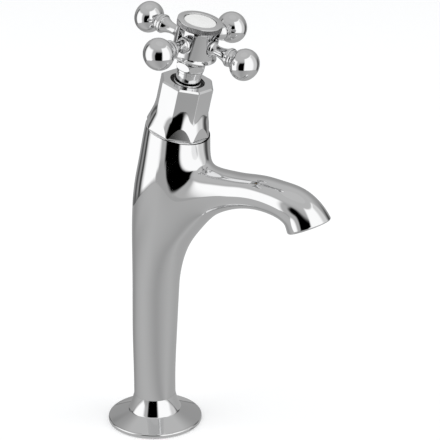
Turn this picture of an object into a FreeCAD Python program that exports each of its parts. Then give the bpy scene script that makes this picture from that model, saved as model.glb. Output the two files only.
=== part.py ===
import FreeCAD, Part
import Sketcher
import math
import os

# Cross handle pillar tap, in millimetres. +Z is up, the spout reaches along +X and the model is
# symmetric about the XZ plane. The origin is the centre of the flange's underside, on the deck.
# The valve head leans forward on its own axis; its pieces are drawn upright in the head's frame,
# whose origin is the centre of the casting's top face, and are then leaned as one.

DRIVING_SIZES = {
    # deck flange and column
    "flange_radius": 24.0,
    "flange_edge": 1.5,
    "flange_crown": 2.5,
    "dish_radius": 13.4,
    "dish_height": 4.6,
    "foot_top": 12.0,
    "foot_fillet": 6.0,
    "column_radius": 10.6,
    "gasket_outer": 19.0,
    "gasket_inner": 12.4,
    "gasket_depth": 1.2,
    # lean of the valve head: where its axis leaves the column's axis, and how far up it the casting ends
    "lean_height": 97.1,
    "lean_angle": 14.2,
    "lean_length": 65.6,
    # outside of the casting between foot and head
    "mid_radius": 11.3,
    "mid_forward": 0.5,
    "throat_radius": 12.1,
    "throat_forward": 1.7,
    "elbow_radius": 14.1,
    "elbow_forward": 0.6,
    "shoulder_radius": 16.0,
    "rim_radius": 15.5,
    "rim_round": 0.4,
    # spout
    "spout_reach": 92.8,
    "crest_clearance": 4.8,
    "spout_climb": 56.0,
    "mouth_drop": 10.0,
    "mouth_angle": 25.0,
    "mouth_radius": 10.8,
    "mouth_wall": 1.8,
    "mouth_lip": 1.2,
    "spout_height": 17.2,
    "spout_width": 19.6,
    "crotch_fillet": 8.0,
    # waterways
    "inlet_bore": 6.0,
    "seat_bore": 5.2,
    "chamber_bore": 7.6,
    "spout_bore_high": 5.6,
    "spout_bore_wide": 6.8,
    "chamber_depth": 28.0,
    # tail below the deck
    "tail_radius": 10.48,
    "tail_length": 50.0,
    "tail_bore": 6.2,
    "tail_spigot_radius": 8.4,
    "tail_spigot_length": 13.0,
    "socket_spare": 0.5,
    "tail_groove_depth": 1.1,
    "tail_groove_length": 1.6,
    "tail_free_length": 23.0,
    "deck_space": 12.0,
    "under_washer_radius": 17.0,
    "under_washer_thickness": 2.4,
    "backnut_flats": 30.0,
    "backnut_thickness": 8.0,
    # valve head, heights above the casting's top face
    "bonnet_thread_radius": 8.3,
    "bonnet_depth": 14.0,
    "thread_runout": 1.0,
    "bonnet_flats": 19.0,
    "bonnet_hex_height": 5.0,
    "bonnet_washer_thickness": 1.0,
    "bonnet_barrel_radius": 9.2,
    "neck_radius": 6.0,
    "gland_seat_height": 30.8,
    "gland_box_radius": 5.0,
    "gland_box_depth": 9.0,
    "gland_spigot_length": 4.2,
    "gland_washer_thickness": 0.8,
    "gland_nut_corner": 7.65,
    "gland_nut_height": 7.0,
    "nut_chamfer": 0.8,
    "seat_depth": 27.0,
    "seat_ring_radius": 6.6,
    "seat_ring_length": 6.0,
    "valve_lift": 5.4,
    "stem_radius": 3.8,
    "screw_radius": 6.0,
    "screw_length": 16.0,
    "screw_crown": 10.8,
    "nose_radius": 4.4,
    "stem_end_depth": 5.0,
    "jumper_plate_radius": 6.3,
    "jumper_plate_thickness": 1.6,
    "jumper_washer_thickness": 3.0,
    "jumper_stem_radius": 2.3,
    "jumper_stem_length": 11.0,
    "jumper_screw_radius": 1.5,
    "jumper_nut_corner": 3.2,
    "jumper_nut_height": 2.0,
    # octagonal cover
    "cover_height": 25.8,
    "cover_corner": 13.26,
    "cover_bore": 11.2,
    "cover_hole": 8.3,
    "cover_plate": 1.8,
    "cover_chamfer": 0.7,
    "cover_flare_height": 18.8,
    "cover_foot_radius": 15.7,
    "cover_foot_flats": 15.0,
    "cover_foot_lean": 8.0,
    "cover_turn": -4.0,
    # cross handle
    "handle_gap": 1.0,
    "hub_height": 15.9,
    "hub_skirt_radius": 11.4,
    "hub_waist_radius": 9.7,
    "hub_recess_radius": 8.4,
    "hub_recess_depth": 2.4,
    "hub_top_radius": 10.0,
    "hub_bell_curve": 14.0,
    "hub_flat": 8.3,
    "hub_niche_width": 8.6,
    "hub_niche_bottom": 3.2,
    "arm_height": 8.0,
    "arm_length": 28.6,
    "arm_root_radius": 3.5,
    "arm_waist_curve": 16.0,
    "arm_collar_radius": 4.5,
    "arm_stud_radius": 2.2,
    "arm_stud_length": 3.4,
    "ball_radius": 7.6,
    "ball_flattening": 0.8,
    "ball_ease": 0.5,
    "ball_flat_depth": 0.9,
    "ball_stud_radius": 1.8,
    "ball_stud_length": 3.6,
    "ring_radius": 10.7,
    "ring_height": 2.6,
    "ring_hole_radius": 5.0,
    "ring_boss_radius": 6.3,
    "ring_boss_depth": 1.4,
    "disc_radius": 7.1,
    "disc_thickness": 1.0,
    "disc_recess": 0.5,
    "screw_head_radius": 4.4,
    "screw_head_height": 2.2,
    "screw_shank_radius": 1.8,
    "screw_shank_length": 8.0,
    # clearances
    "running_gap": 0.08,
    "thread_gap": 0.10,
    "fitting_gap": 0.10,
    "valve_gap": 0.05,
}

DOC = FreeCAD.newDocument("cross_handle_tap")


class Size:
    """A length that knows both its number and the formula over the sheet that it comes from."""

    def __init__(self, value, text=None):
        self.value = float(value)
        self.text = text or repr(float(value))

    def join(self, other, sign, value):
        return Size(value, "(%s %s %s)" % (self.text, sign, other.text))

    def __add__(self, other):
        other = size(other)
        return self.join(other, "+", self.value + other.value)

    def __sub__(self, other):
        other = size(other)
        return self.join(other, "-", self.value - other.value)

    def __mul__(self, other):
        other = size(other)
        return self.join(other, "*", self.value * other.value)

    def __truediv__(self, other):
        other = size(other)
        return self.join(other, "/", self.value / other.value)

    def __neg__(self):
        return size(0) - self

    def __radd__(self, other):
        return size(other) + self

    def __rsub__(self, other):
        return size(other) - self

    def __rmul__(self, other):
        return size(other) * self


def size(number):
    return number if isinstance(number, Size) else Size(number)


def square_root(number):
    return Size(math.sqrt(number.value), "sqrt(%s)" % number.text)


class Sheet:
    """The driving dimensions: one row for each, its name beside its number, read back as Size."""

    def __init__(self, values):
        self.table = DOC.addObject("Spreadsheet::Sheet", "sizes")
        for row, (name, value) in enumerate(values.items(), 1):
            self.table.set("A%d" % row, name)
            self.table.set("B%d" % row, str(value))
            self.table.setAlias("B%d" % row, name)
            setattr(self, name, Size(value, "sizes." + name))
        DOC.recompute()


d = Sheet(DRIVING_SIZES)
PIECES = []


# ---- ways of making a piece -------------------------------------------------------------------

def new_body(name):
    body = DOC.addObject("PartDesign::Body", name)
    body.Label = name
    PIECES.append(body)
    return body


def new_sketch(body, name, plane="XZ_Plane", off=None):
    """A sketch on one of the body's planes, or on a plane set off from it by a length."""
    base = [item for item in body.Origin.OriginFeatures if item.Role == plane][0]
    sketch = body.newObject("Sketcher::SketchObject", name)
    sketch.AttachmentSupport = (base, [""])
    sketch.MapMode = "FlatFace"
    if off is not None:
        sketch.setExpression("AttachmentOffset.Base.z", size(off).text)
    return sketch


def bind(sketch, constraint, length):
    index = sketch.addConstraint(constraint)
    sketch.setExpression("Constraints[%d]" % index, length.text)


def arc_between(start, end, radius):
    """The short arc of that radius from start to end; a negative radius bends it the other way."""
    chord = end - start
    half = chord.Length / 2
    reach = math.sqrt(max(radius * radius - half * half, 0.0))
    side = FreeCAD.Vector(-chord.y, chord.x, 0).normalize()
    toward = 1 if radius > 0 else -1
    centre = (start + end) / 2 + side * reach * toward
    middle = centre - side * abs(radius) * toward
    return Part.Arc(start, middle, end)


def outline(body, name, points, plane="XZ_Plane", off=None):
    """A closed sketch through points (across, up), each a Size or a number.
    A third entry is the radius of the arc that arrives at the point: positive has its centre on the left."""
    sketch = new_sketch(body, name, plane, off)
    spots = [FreeCAD.Vector(size(p[0]).value, size(p[1]).value, 0) for p in points]
    curves = []
    for index, point in enumerate(points):
        start, end = spots[index - 1], spots[index]
        if len(point) == 3:
            curves.append(arc_between(start, end, size(point[2]).value))
        else:
            curves.append(Part.LineSegment(start, end))
    sketch.addGeometry(curves, False)
    for index, point in enumerate(points):
        after = (index + 1) % len(points)
        turned_over = len(point) == 3 and size(point[2]).value < 0
        start_of_next = 1
        if len(points[after]) == 3 and size(points[after][2]).value < 0:
            start_of_next = 2
        end_of_this = 1 if turned_over else 2
        sketch.addConstraint(Sketcher.Constraint("Coincident", index, end_of_this, after, start_of_next))
        bind(sketch, Sketcher.Constraint("DistanceX", -1, 1, index, end_of_this, spots[index].x), size(point[0]))
        bind(sketch, Sketcher.Constraint("DistanceY", -1, 1, index, end_of_this, spots[index].y), size(point[1]))
        if len(point) == 3:
            radius = size(point[2])
            radius = radius if radius.value > 0 else -radius
            chord = spots[index].distanceToPoint(spots[index - 1])
            if chord > 2 * radius.value - 1e-6:
                # a half round over a level chord: its centre lies at the chord's height
                bind(sketch, Sketcher.Constraint("DistanceY", -1, 1, index, 3, spots[index].y), size(point[1]))
            else:
                bind(sketch, Sketcher.Constraint("Radius", index, radius.value), radius)
    return sketch


def turn(body, points, name="turning", cut=False, leaned=False):
    """Turns a profile about the body's upright axis, or about the head's axis if it is leaned."""
    sketch = outline(body, name + "_profile", points)
    if leaned:
        turned = FreeCAD.Rotation(FreeCAD.Vector(0, 0, 1), -d.lean_angle.value)
        top_x, top_z = lean_point(d.lean_length)
        sketch.AttachmentOffset = FreeCAD.Placement(FreeCAD.Vector(top_x.value, top_z.value, 0), turned)
        sketch.setExpression("AttachmentOffset.Base.x", top_x.text)
        sketch.setExpression("AttachmentOffset.Base.y", top_z.text)
    kind = "PartDesign::Groove" if cut else "PartDesign::Revolution"
    feature = body.newObject(kind, name)
    feature.Profile = sketch
    feature.ReferenceAxis = (sketch, ["V_Axis"])
    feature.Angle = 360
    return feature


def turned_piece(name, points):
    body = new_body(name)
    turn(body, points)
    return body


def chamfer_corners(body, corner, height, below, name):
    """Turns the corners of a polygon off at one end, at 30 degrees to its face."""
    slope = math.tan(math.radians(30))
    outer = size(corner) + 1
    drop = (d.nut_chamfer + 1) * slope
    turn(body, [
        (size(corner) - d.nut_chamfer, height),
        (outer, height),
        (outer, size(height) - drop if below else size(height) + drop),
    ], name, cut=True)


def drill(body, radius, low, high, name="bore"):
    """A round hole along the body's axis from one height to another."""
    sketch = circle_sketch(body, name + "_circle", radius, low)
    return pocket(body, sketch, size(high) - low, name, upward=True)


def polygon_sketch(body, name, corner, sides, height, turn_angle=0.0):
    """A regular polygon on a level plane, with its first corner at turn_angle."""
    sketch = new_sketch(body, name, "XY_Plane", height)
    angles = [math.radians(turn_angle + 360.0 * k / sides) for k in range(sides)]
    reach = size(corner).value
    spots = [FreeCAD.Vector(reach * math.cos(a), reach * math.sin(a), 0) for a in angles]
    sketch.addGeometry([Part.LineSegment(spots[k - 1], spots[k]) for k in range(sides)], False)
    sketch.addGeometry(Part.Circle(FreeCAD.Vector(), FreeCAD.Vector(0, 0, 1), reach), True)
    for k in range(sides):
        sketch.addConstraint(Sketcher.Constraint("Coincident", k, 2, (k + 1) % sides, 1))
        sketch.addConstraint(Sketcher.Constraint("PointOnObject", k, 2, sides))
    sketch.addConstraint(Sketcher.Constraint("Coincident", sides, 3, -1, 1))
    for k in range(1, sides):
        sketch.addConstraint(Sketcher.Constraint("Equal", 0, k))
    first = size(corner) * math.sin(math.radians(turn_angle)) if turn_angle else None
    if first is None:
        sketch.addConstraint(Sketcher.Constraint("PointOnObject", 0, 2, -1))
    else:
        bind(sketch, Sketcher.Constraint("DistanceY", -1, 1, 0, 2, first.value), first)
    bind(sketch, Sketcher.Constraint("Radius", sides, reach), size(corner))
    return sketch


def pad(body, sketch, length, name="pad"):
    feature = body.newObject("PartDesign::Pad", name)
    feature.Profile = sketch
    feature.setExpression("Length", size(length).text)
    return feature


def circle_sketch(body, name, radius, off, plane="XY_Plane", up=None):
    sketch = new_sketch(body, name, plane, off)
    if up is not None:
        sketch.setExpression("AttachmentOffset.Base.y", size(up).text)
    number = size(radius)
    sketch.addGeometry(Part.Circle(FreeCAD.Vector(), FreeCAD.Vector(0, 0, 1), number.value), False)
    sketch.addConstraint(Sketcher.Constraint("Coincident", 0, 3, -1, 1))
    bind(sketch, Sketcher.Constraint("Radius", 0, number.value), number)
    return sketch


def pocket(body, sketch, length, name, upward):
    """Cuts the sketch's shape for that length, upward along the plane's normal or against it."""
    DOC.recompute()
    before = body.Tip.Shape.Volume
    feature = body.newObject("PartDesign::Pocket", name)
    feature.Profile = sketch
    feature.setExpression("Length", size(length).text)
    feature.Reversed = upward
    DOC.recompute()
    if feature.Shape.Volume > before - 1e-6:
        raise ValueError("%s of %s cuts nothing" % (name, body.Label))
    return feature


def around(body, features, count, name="round_the_axis"):
    pattern = body.newObject("PartDesign::PolarPattern", name)
    pattern.Originals = features
    axis = [item for item in body.Origin.OriginFeatures if item.Role == "Z_Axis"][0]
    pattern.Axis = (axis, [""])
    pattern.Angle = 360
    pattern.Occurrences = count
    body.Tip = pattern
    return pattern


# ---- frames -----------------------------------------------------------------------------------

LEAN = math.radians(d.lean_angle.value)
HEAD_ORIGIN = FreeCAD.Vector(
    d.lean_length.value * math.sin(LEAN),
    0,
    d.lean_height.value + d.lean_length.value * math.cos(LEAN),
)
HEAD = FreeCAD.Placement(HEAD_ORIGIN, FreeCAD.Rotation(FreeCAD.Vector(0, 1, 0), d.lean_angle.value))


def turned_about_axis(degrees, height=0.0):
    """A place in the head's frame: up its axis by a height and turned about it."""
    spin = FreeCAD.Rotation(FreeCAD.Vector(0, 0, 1), degrees)
    return HEAD.multiply(FreeCAD.Placement(FreeCAD.Vector(0, 0, height), spin))


def put_in_head(*bodies):
    for body in bodies:
        body.Placement = HEAD


def lean_point(along):
    """The point of the head's axis at a length from where it leaves the column's axis."""
    along = size(along)
    return along * math.sin(LEAN), d.lean_height + along * math.cos(LEAN)


# ---- heights above the casting's top face, in the head's frame -----------------------------------

bonnet_hex_base = d.bonnet_washer_thickness
bonnet_hex_top = bonnet_hex_base + d.bonnet_hex_height
barrel_top = d.cover_height - d.cover_plate - d.fitting_gap
gland_nut_top = d.gland_seat_height + d.gland_nut_height
gland_box_floor = d.gland_seat_height - d.gland_box_depth
hub_base = gland_nut_top + d.handle_gap
hub_top = hub_base + d.hub_height
arm_level = hub_base + d.arm_height
ring_top = hub_top + d.ring_height
seat_lip = -d.seat_depth
plate_base = seat_lip + d.valve_gap + d.jumper_washer_thickness
plate_top = plate_base + d.jumper_plate_thickness
screw_bore_top = barrel_top - d.screw_crown
screw_top = screw_bore_top - d.valve_lift - d.fitting_gap
screw_base = screw_top - d.screw_length
nose_base = plate_top + d.valve_gap
hub_floor = hub_base + d.hub_recess_depth
stem_end = hub_top - d.stem_end_depth
washer_base = seat_lip + d.valve_gap
ball_half = d.ball_radius - d.ball_flattening


# the spout's crest keeps its own height and a clearance below the casting's top face
crest = d.lean_height + d.lean_length * math.cos(LEAN) - d.spout_height - d.crest_clearance

SQUARE = math.sqrt(2)


# ---- casting: flange, column, head socket and spout in one ---------------------------------------

def section(body, name, x, z, lean, half_long, half_wide, spin=0.0):
    """A round or oval section square to a direction that leans forward from upright."""
    sketch = new_sketch(body, name, "XY_Plane")
    turn_to = FreeCAD.Rotation(FreeCAD.Vector(0, 1, 0), lean)
    turn_to = turn_to.multiply(FreeCAD.Rotation(FreeCAD.Vector(0, 0, 1), spin))
    sketch.AttachmentOffset = FreeCAD.Placement(FreeCAD.Vector(x.value, 0, z.value), turn_to)
    sketch.setExpression("AttachmentOffset.Base.x", x.text)
    sketch.setExpression("AttachmentOffset.Base.z", z.text)
    long_side, wide_side = size(half_long), size(half_wide)
    origin = FreeCAD.Vector()
    if abs(long_side.value - wide_side.value) < 1e-6:
        sketch.addGeometry(Part.Circle(origin, FreeCAD.Vector(0, 0, 1), long_side.value), False)
        sketch.addConstraint(Sketcher.Constraint("Coincident", 0, 3, -1, 1))
        bind(sketch, Sketcher.Constraint("Radius", 0, long_side.value), long_side)
        return sketch
    across, along = FreeCAD.Vector(0, wide_side.value, 0), FreeCAD.Vector(-long_side.value, 0, 0)
    wider = wide_side.value > long_side.value
    sketch.addGeometry(Part.Ellipse(across if wider else along, along if wider else across, origin), False)
    sketch.exposeInternalGeometry(0)
    sketch.addConstraint(Sketcher.Constraint("Coincident", 0, 3, -1, 1))
    sketch.addConstraint(Sketcher.Constraint("Vertical" if wider else "Horizontal", 1))
    major, minor = (wide_side, long_side) if wider else (long_side, wide_side)
    bind(sketch, Sketcher.Constraint("Distance", 1, 2 * major.value), major * 2)
    bind(sketch, Sketcher.Constraint("Distance", 2, 2 * minor.value), minor * 2)
    return sketch


def loft(body, sections, name, cut=False):
    kind = "PartDesign::SubtractiveLoft" if cut else "PartDesign::AdditiveLoft"
    feature = body.newObject(kind, name)
    feature.Profile = sections[0]
    feature.Sections = sections[1:]
    return feature


def longest_edge_near(body, low, high):
    """The longest edge whose middle lies between two heights: where the spout meets the trunk."""
    edges = [(edge.Length, index) for index, edge in enumerate(body.Tip.Shape.Edges, 1)
             if low < edge.CenterOfMass.z < high and edge.CenterOfMass.x < d.spout_reach.value / 2]
    return "Edge%d" % max(edges)[1]


def circles_at(body, centre, radius):
    """The edges that run at that radius about a point."""
    found = []
    for index, edge in enumerate(body.Tip.Shape.Edges, 1):
        start, end = edge.ParameterRange
        spots = [edge.valueAt(start + (end - start) * share) for share in (0, 0.3, 0.5, 0.7, 1)]
        if all(abs(spot.distanceToPoint(centre) - radius.value) < 1e-3 for spot in spots):
            found.append("Edge%d" % index)
    return found


def round_edges(body, edges, radius, name):
    last = body.Tip
    feature = body.newObject("PartDesign::Fillet", name)
    feature.Base = (last, edges)
    feature.setExpression("Radius", size(radius).text)
    body.Tip = feature
    DOC.recompute()


def casting_trunk(body):
    lean = d.lean_angle.value
    turned_back = 180.0
    stations = [
        ("foot", size(0), d.foot_top, 0, d.column_radius),
        ("low", size(0), d.foot_top * 2, 0, d.column_radius),
        ("mid", d.mid_forward, d.lean_height * 0.494, 1, d.mid_radius),
        ("throat", d.throat_forward, d.lean_height * 0.834, 3, d.throat_radius),
    ]
    elbow_x, elbow_z = lean_point(d.lean_length * 0.2134)
    stations.append(("elbow", elbow_x + d.elbow_forward, elbow_z, lean - 4, d.elbow_radius))
    for name, share, radius in (
        ("shoulder", 0.5488, d.shoulder_radius),
        ("brow", 0.8232, d.shoulder_radius),
        ("rim", 1.0, d.rim_radius),
    ):
        x, z = lean_point(d.lean_length * share)
        stations.append((name, x, z, lean, radius))
    loft(body, [
        section(body, "trunk_" + name, x, z, tilt, radius, radius, turned_back)
        for name, x, z, tilt, radius in stations
    ], "trunk")
    DOC.recompute()


def casting_spout(body):
    """The swan neck: each station is a share of the reach and of the climb, a tilt from upright, how much
    taller it is than the neck at its crest, and its share of the crest's extra width."""
    reach = d.spout_reach
    high = d.spout_height / 2
    widening = (d.spout_width - d.spout_height) / 2
    stations = [
        ("root", 0.022, 1.000, 6, 0.256, 0),
        ("rooting", 0.046, 0.816, 15, 0.326, 0),
        ("throat", 0.083, 0.637, 26, 0.419, 0),
        ("bend", 0.200, 0.343, 50, 0.558, 0),
        ("neck", 0.340, 0.132, 72, 0.500, 0),
        ("back", 0.453, 0.066, 82, 0.256, 0.42),
        ("rise", 0.580, 0.025, 88, 0.035, 0.92),
        ("top", 0.710, 0.000, 91, 0.000, 1.00),
        ("fall", 0.810, 0.009, 97, 0.012, 1.00),
        ("turn", 0.900, 0.039, 110, 0.093, 0.83),
        ("drop", 0.955, 0.093, 131, 0.198, 0.17),
    ]
    sections = [
        section(body, "spout_" + name, reach * share, crest - d.spout_climb * down, tilt,
                high * (1 + taller), high * (1 + taller) + widening * spread)
        for name, share, down, tilt, taller, spread in stations
    ]
    mouth_tilt = 180 - d.mouth_angle.value
    mouth_height = crest - d.mouth_drop
    sections.append(section(body, "spout_mouth", reach, mouth_height, mouth_tilt, d.mouth_radius, d.mouth_radius))
    loft(body, sections, "spout")
    DOC.recompute()
    seam = longest_edge_near(body, d.lean_height.value, crest.value + d.spout_height.value)
    round_edges(body, [seam], d.crotch_fillet, "crotch")
    mouth = FreeCAD.Vector(reach.value, 0, mouth_height.value)
    round_edges(body, circles_at(body, mouth, d.mouth_radius), d.mouth_lip, "mouth_lip")


def casting_waterway(body):
    """From the valve chamber out through the spout, within the outside by the mouth's wall."""
    reach = d.spout_reach
    high = d.spout_bore_high
    widening = d.spout_bore_wide - d.spout_bore_high
    stations = [
        ("start", 0.120, 0.009, 92, 0.00, 1.00),
        ("neck", 0.300, 0.052, 92, 0.00, 1.00),
        ("back", 0.453, 0.052, 86, 0.00, 1.00),
        ("rise", 0.580, 0.025, 88, 0.00, 1.00),
        ("top", 0.710, 0.000, 91, 0.00, 1.00),
        ("fall", 0.810, 0.009, 97, 0.09, 0.83),
        ("turn", 0.900, 0.039, 110, 0.30, 0.50),
        ("drop", 0.955, 0.093, 131, 0.48, 0.25),
    ]
    sections = [
        section(body, "way_" + name, reach * share, crest - d.spout_climb * down, tilt,
                high * (1 + taller), high * (1 + taller) + widening * spread)
        for name, share, down, tilt, taller, spread in stations
    ]
    mouth_tilt = 180 - d.mouth_angle.value
    opening = d.mouth_radius - d.mouth_wall
    sections.append(section(body, "way_mouth", reach, crest - d.mouth_drop, mouth_tilt, opening, opening))
    loft(body, sections, "spout_waterway", cut=True)
    DOC.recompute()


def tap_casting():
    body = new_body("tap_body")
    edge_round = 0.6
    crown_round = 0.9
    foot_hollow = -7.5
    turn(body, [
        (0, d.gasket_depth),
        (d.gasket_outer, d.gasket_depth),
        (d.gasket_outer, 0),
        (d.flange_radius - edge_round, 0),
        (d.flange_radius, edge_round, edge_round),
        (d.flange_radius, d.flange_edge),
        (d.flange_radius - crown_round, d.flange_edge + 0.8, crown_round),
        (d.dish_radius, d.dish_height),
        (d.column_radius, d.foot_top, foot_hollow),
        (0, d.foot_top),
    ], name="foot")
    casting_trunk(body)
    casting_spout(body)
    round_edges(body, circles_at(body, HEAD_ORIGIN, d.rim_radius), d.rim_round, "rim_round")
    # the inlet bore stands upright up to the lean, and the valve's bores follow the head's axis
    overrun = 2.0
    drill(body, d.inlet_bore, size(0), d.lean_height + overrun, "inlet")
    drill(body, d.tail_spigot_radius + d.fitting_gap, size(0), d.gasket_depth + d.tail_spigot_length + d.socket_spare, "tail_socket")
    ring_pocket = d.seat_ring_radius + d.fitting_gap
    socket = d.bonnet_thread_radius + d.thread_gap
    seat_floor = seat_lip - d.seat_ring_length
    socket_floor = -d.bonnet_depth - d.thread_runout
    turn(body, [
        (0, 0),
        (0, -d.lean_length - overrun),
        (d.inlet_bore, -d.lean_length - overrun),
        (d.inlet_bore, seat_floor),
        (ring_pocket, seat_floor),
        (ring_pocket, -d.chamber_depth),
        (d.chamber_bore, -d.chamber_depth),
        (d.chamber_bore, socket_floor),
        (socket, socket_floor),
        (socket, 0),
    ], "valve_bores", cut=True, leaned=True)
    DOC.recompute()
    casting_waterway(body)
    return body


# ---- connection below the deck ---------------------------------------------------------------

def inlet_tail():
    """The threaded tail: its spigot rises into the casting, and a groove parts its upper thread from its end."""
    top = d.gasket_depth + d.tail_spigot_length
    groove_low = d.tail_free_length - d.tail_length
    groove_high = groove_low + d.tail_groove_length
    core = d.tail_radius - d.tail_groove_depth
    end_chamfer = 0.6
    return turned_piece("inlet_tail", [
        (d.tail_bore, -d.tail_length),
        (d.tail_radius - end_chamfer, -d.tail_length),
        (d.tail_radius, -d.tail_length + end_chamfer),
        (d.tail_radius, groove_low),
        (core, groove_low),
        (core, groove_high),
        (d.tail_radius, groove_high),
        (d.tail_radius, d.gasket_depth),
        (d.tail_spigot_radius, d.gasket_depth),
        (d.tail_spigot_radius, top),
        (d.tail_bore, top),
    ])


def ring(name, inner, outer, low, high):
    return turned_piece(name, [(inner, low), (outer, low), (outer, high), (inner, high)])


def base_gasket():
    return ring("base_gasket", d.gasket_inner, d.gasket_outer - d.fitting_gap, 0, d.gasket_depth)


def under_washer():
    low = -d.deck_space - d.under_washer_thickness
    return ring("under_washer", d.tail_radius + d.fitting_gap, d.under_washer_radius, low, -d.deck_space)


def backnut():
    body = new_body("backnut")
    top = -d.deck_space - d.under_washer_thickness
    low = top - d.backnut_thickness
    corner = d.backnut_flats / math.sqrt(3)
    pad(body, polygon_sketch(body, "flats", corner, 6, low), d.backnut_thickness)
    chamfer_corners(body, corner, low, False, "lower_chamfer")
    chamfer_corners(body, corner, top, True, "upper_chamfer")
    drill(body, d.tail_radius + d.thread_gap, low, top)
    return body


# ---- valve, fixed pieces -----------------------------------------------------------------------

def valve_seat():
    lip_round = 0.6
    floor = seat_lip - d.seat_ring_length
    return turned_piece("valve_seat", [
        (d.seat_bore, floor),
        (d.seat_ring_radius, floor),
        (d.seat_ring_radius, seat_lip - lip_round),
        (d.seat_ring_radius - lip_round, seat_lip),
        (d.seat_bore, seat_lip),
    ])


def bonnet():
    body = new_body("bonnet")
    corner = d.bonnet_flats / math.sqrt(3)
    pad(body, polygon_sketch(body, "flats", corner, 6, bonnet_hex_base), d.bonnet_hex_height, "flats_pad")
    chamfer_corners(body, corner, bonnet_hex_top, True, "hex_chamfer")
    turn(body, [
        (0, -d.bonnet_depth),
        (d.bonnet_thread_radius, -d.bonnet_depth),
        (d.bonnet_thread_radius, bonnet_hex_base + 1),
        (d.bonnet_barrel_radius, bonnet_hex_base + 1),
        (d.bonnet_barrel_radius, barrel_top),
        (d.neck_radius, barrel_top),
        (d.neck_radius, d.gland_seat_height),
        (0, d.gland_seat_height),
    ], "barrel")
    DOC.recompute()
    drill(body, d.screw_radius + d.running_gap, -d.bonnet_depth, screw_bore_top, "screw_bore")
    drill(body, d.stem_radius + d.running_gap, screw_bore_top, d.gland_seat_height, "stem_bore")
    drill(body, d.gland_box_radius, gland_box_floor, d.gland_seat_height, "gland_box")
    return body


def bonnet_washer():
    inner = d.bonnet_thread_radius + d.fitting_gap
    return ring("bonnet_washer", inner, d.bonnet_flats / 2, 0, bonnet_hex_base)


def gland_washer():
    inner = d.stem_radius + d.fitting_gap * 3
    outer = d.gland_box_radius - d.fitting_gap
    return ring("gland_washer", inner, outer, gland_box_floor, gland_box_floor + d.gland_washer_thickness)


def gland_packing():
    inner = d.stem_radius + d.running_gap
    outer = d.gland_box_radius - d.fitting_gap / 2
    low = gland_box_floor + d.gland_washer_thickness
    return ring("gland_packing", inner, outer, low, d.gland_seat_height - d.gland_spigot_length)


def gland_nut():
    body = new_body("gland_nut")
    corner = d.gland_nut_corner
    pad(body, polygon_sketch(body, "flats", corner, 6, d.gland_seat_height), d.gland_nut_height, "flats_pad")
    chamfer_corners(body, corner, d.gland_seat_height, False, "lower_chamfer")
    chamfer_corners(body, corner, gland_nut_top, True, "upper_chamfer")
    spigot = circle_sketch(body, "spigot_circle", d.gland_box_radius - d.thread_gap,
                           d.gland_seat_height - d.gland_spigot_length)
    pad(body, spigot, d.gland_spigot_length, "spigot")
    drill(body, d.stem_radius + d.running_gap, d.gland_seat_height - d.gland_spigot_length, gland_nut_top)
    return body


def eight_corners(corner, height):
    """The eight corners of the cover at one height, in the head's frame."""
    angles = [math.radians(d.cover_turn.value + 45 * k + 22.5) for k in range(8)]
    return [FreeCAD.Vector(corner * math.cos(a), corner * math.sin(a), height) for a in angles]


def facet_ring(height, across, corner):
    """Eight arcs at one height, bulging as far as across half way between the corners."""
    least_bulge = 0.0005
    half_way = math.cos(math.radians(22.5))
    spots = eight_corners(corner, height)
    arcs = []
    for k, start in enumerate(spots):
        end = spots[(k + 1) % 8]
        straight = (start + end) / 2
        outward = FreeCAD.Vector(straight.x, straight.y, 0).normalize()
        bulge = max(across - corner * half_way, least_bulge)
        arcs.append(Part.Arc(start, straight + outward * bulge, end).toShape())
    return Part.Wire(arcs)


def cover_outside():
    """Eight flats that run down into a round flare: the ridges between them fade out as it spreads."""
    corner = d.cover_corner.value
    across = corner * math.cos(math.radians(22.5))
    straight_to = d.cover_flare_height.value
    top = d.cover_height.value
    spread = d.cover_foot_radius.value - across
    # the flare curves outward over the first part of its height and is a cone below it
    curved = straight_to * 0.53
    slope = spread / (straight_to - curved / 2)
    rings = [(top - (top - straight_to) * share, across, corner) for share in (0.0, 0.35, 0.7, 1.0)]
    for share, fade in ((0.16, 0.0), (0.32, 0.15), (0.48, 0.55), (0.64, 0.92), (0.80, 1.0), (1.0, 1.0)):
        drop = straight_to * share
        bend = min(drop, curved)
        round_at = across + slope * bend * bend / (2 * curved) + slope * max(drop - curved, 0.0)
        sharp_at = max(corner + (round_at - across) * 0.3, round_at)
        rings.append((straight_to - drop, round_at, sharp_at + (round_at - sharp_at) * fade))
    return Part.makeLoft([facet_ring(*ring) for ring in rings], True, False)


def bonnet_cover():
    top = d.cover_height.value
    outside = cover_outside()
    rim = [edge for edge in outside.Edges if abs(edge.CenterOfMass.z - top) < 1e-3]
    outside = outside.makeChamfer(d.cover_chamfer.value, rim)
    # eight faces that lean in a little cut the flare back at the foot, each with an arched top
    slope = math.tan(math.radians(d.cover_foot_lean.value))
    straight_from = top * 0.4
    octagons = []
    for height, level in ((-1.0, -1.0), (straight_from, straight_from), (top + 2, straight_from)):
        apothem = d.cover_foot_flats.value - slope * level
        corners = eight_corners(apothem / math.cos(math.radians(22.5)), height)
        octagons.append(Part.makePolygon(corners + corners[:1]))
    shape = outside.common(Part.makeLoft(octagons, True, True))
    hollow = Part.makeCylinder(d.cover_bore.value, top - d.cover_plate.value)
    hole = Part.makeCylinder(d.cover_hole.value, top)
    shape = shape.cut(hollow).cut(hole)
    cover = DOC.addObject("Part::Feature", "bonnet_cover")
    cover.Label = "bonnet_cover"
    cover.Shape = shape.Solids[0] if len(shape.Solids) == 1 else shape
    PIECES.append(cover)
    return cover


# ---- valve, rising pieces ----------------------------------------------------------------------

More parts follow.
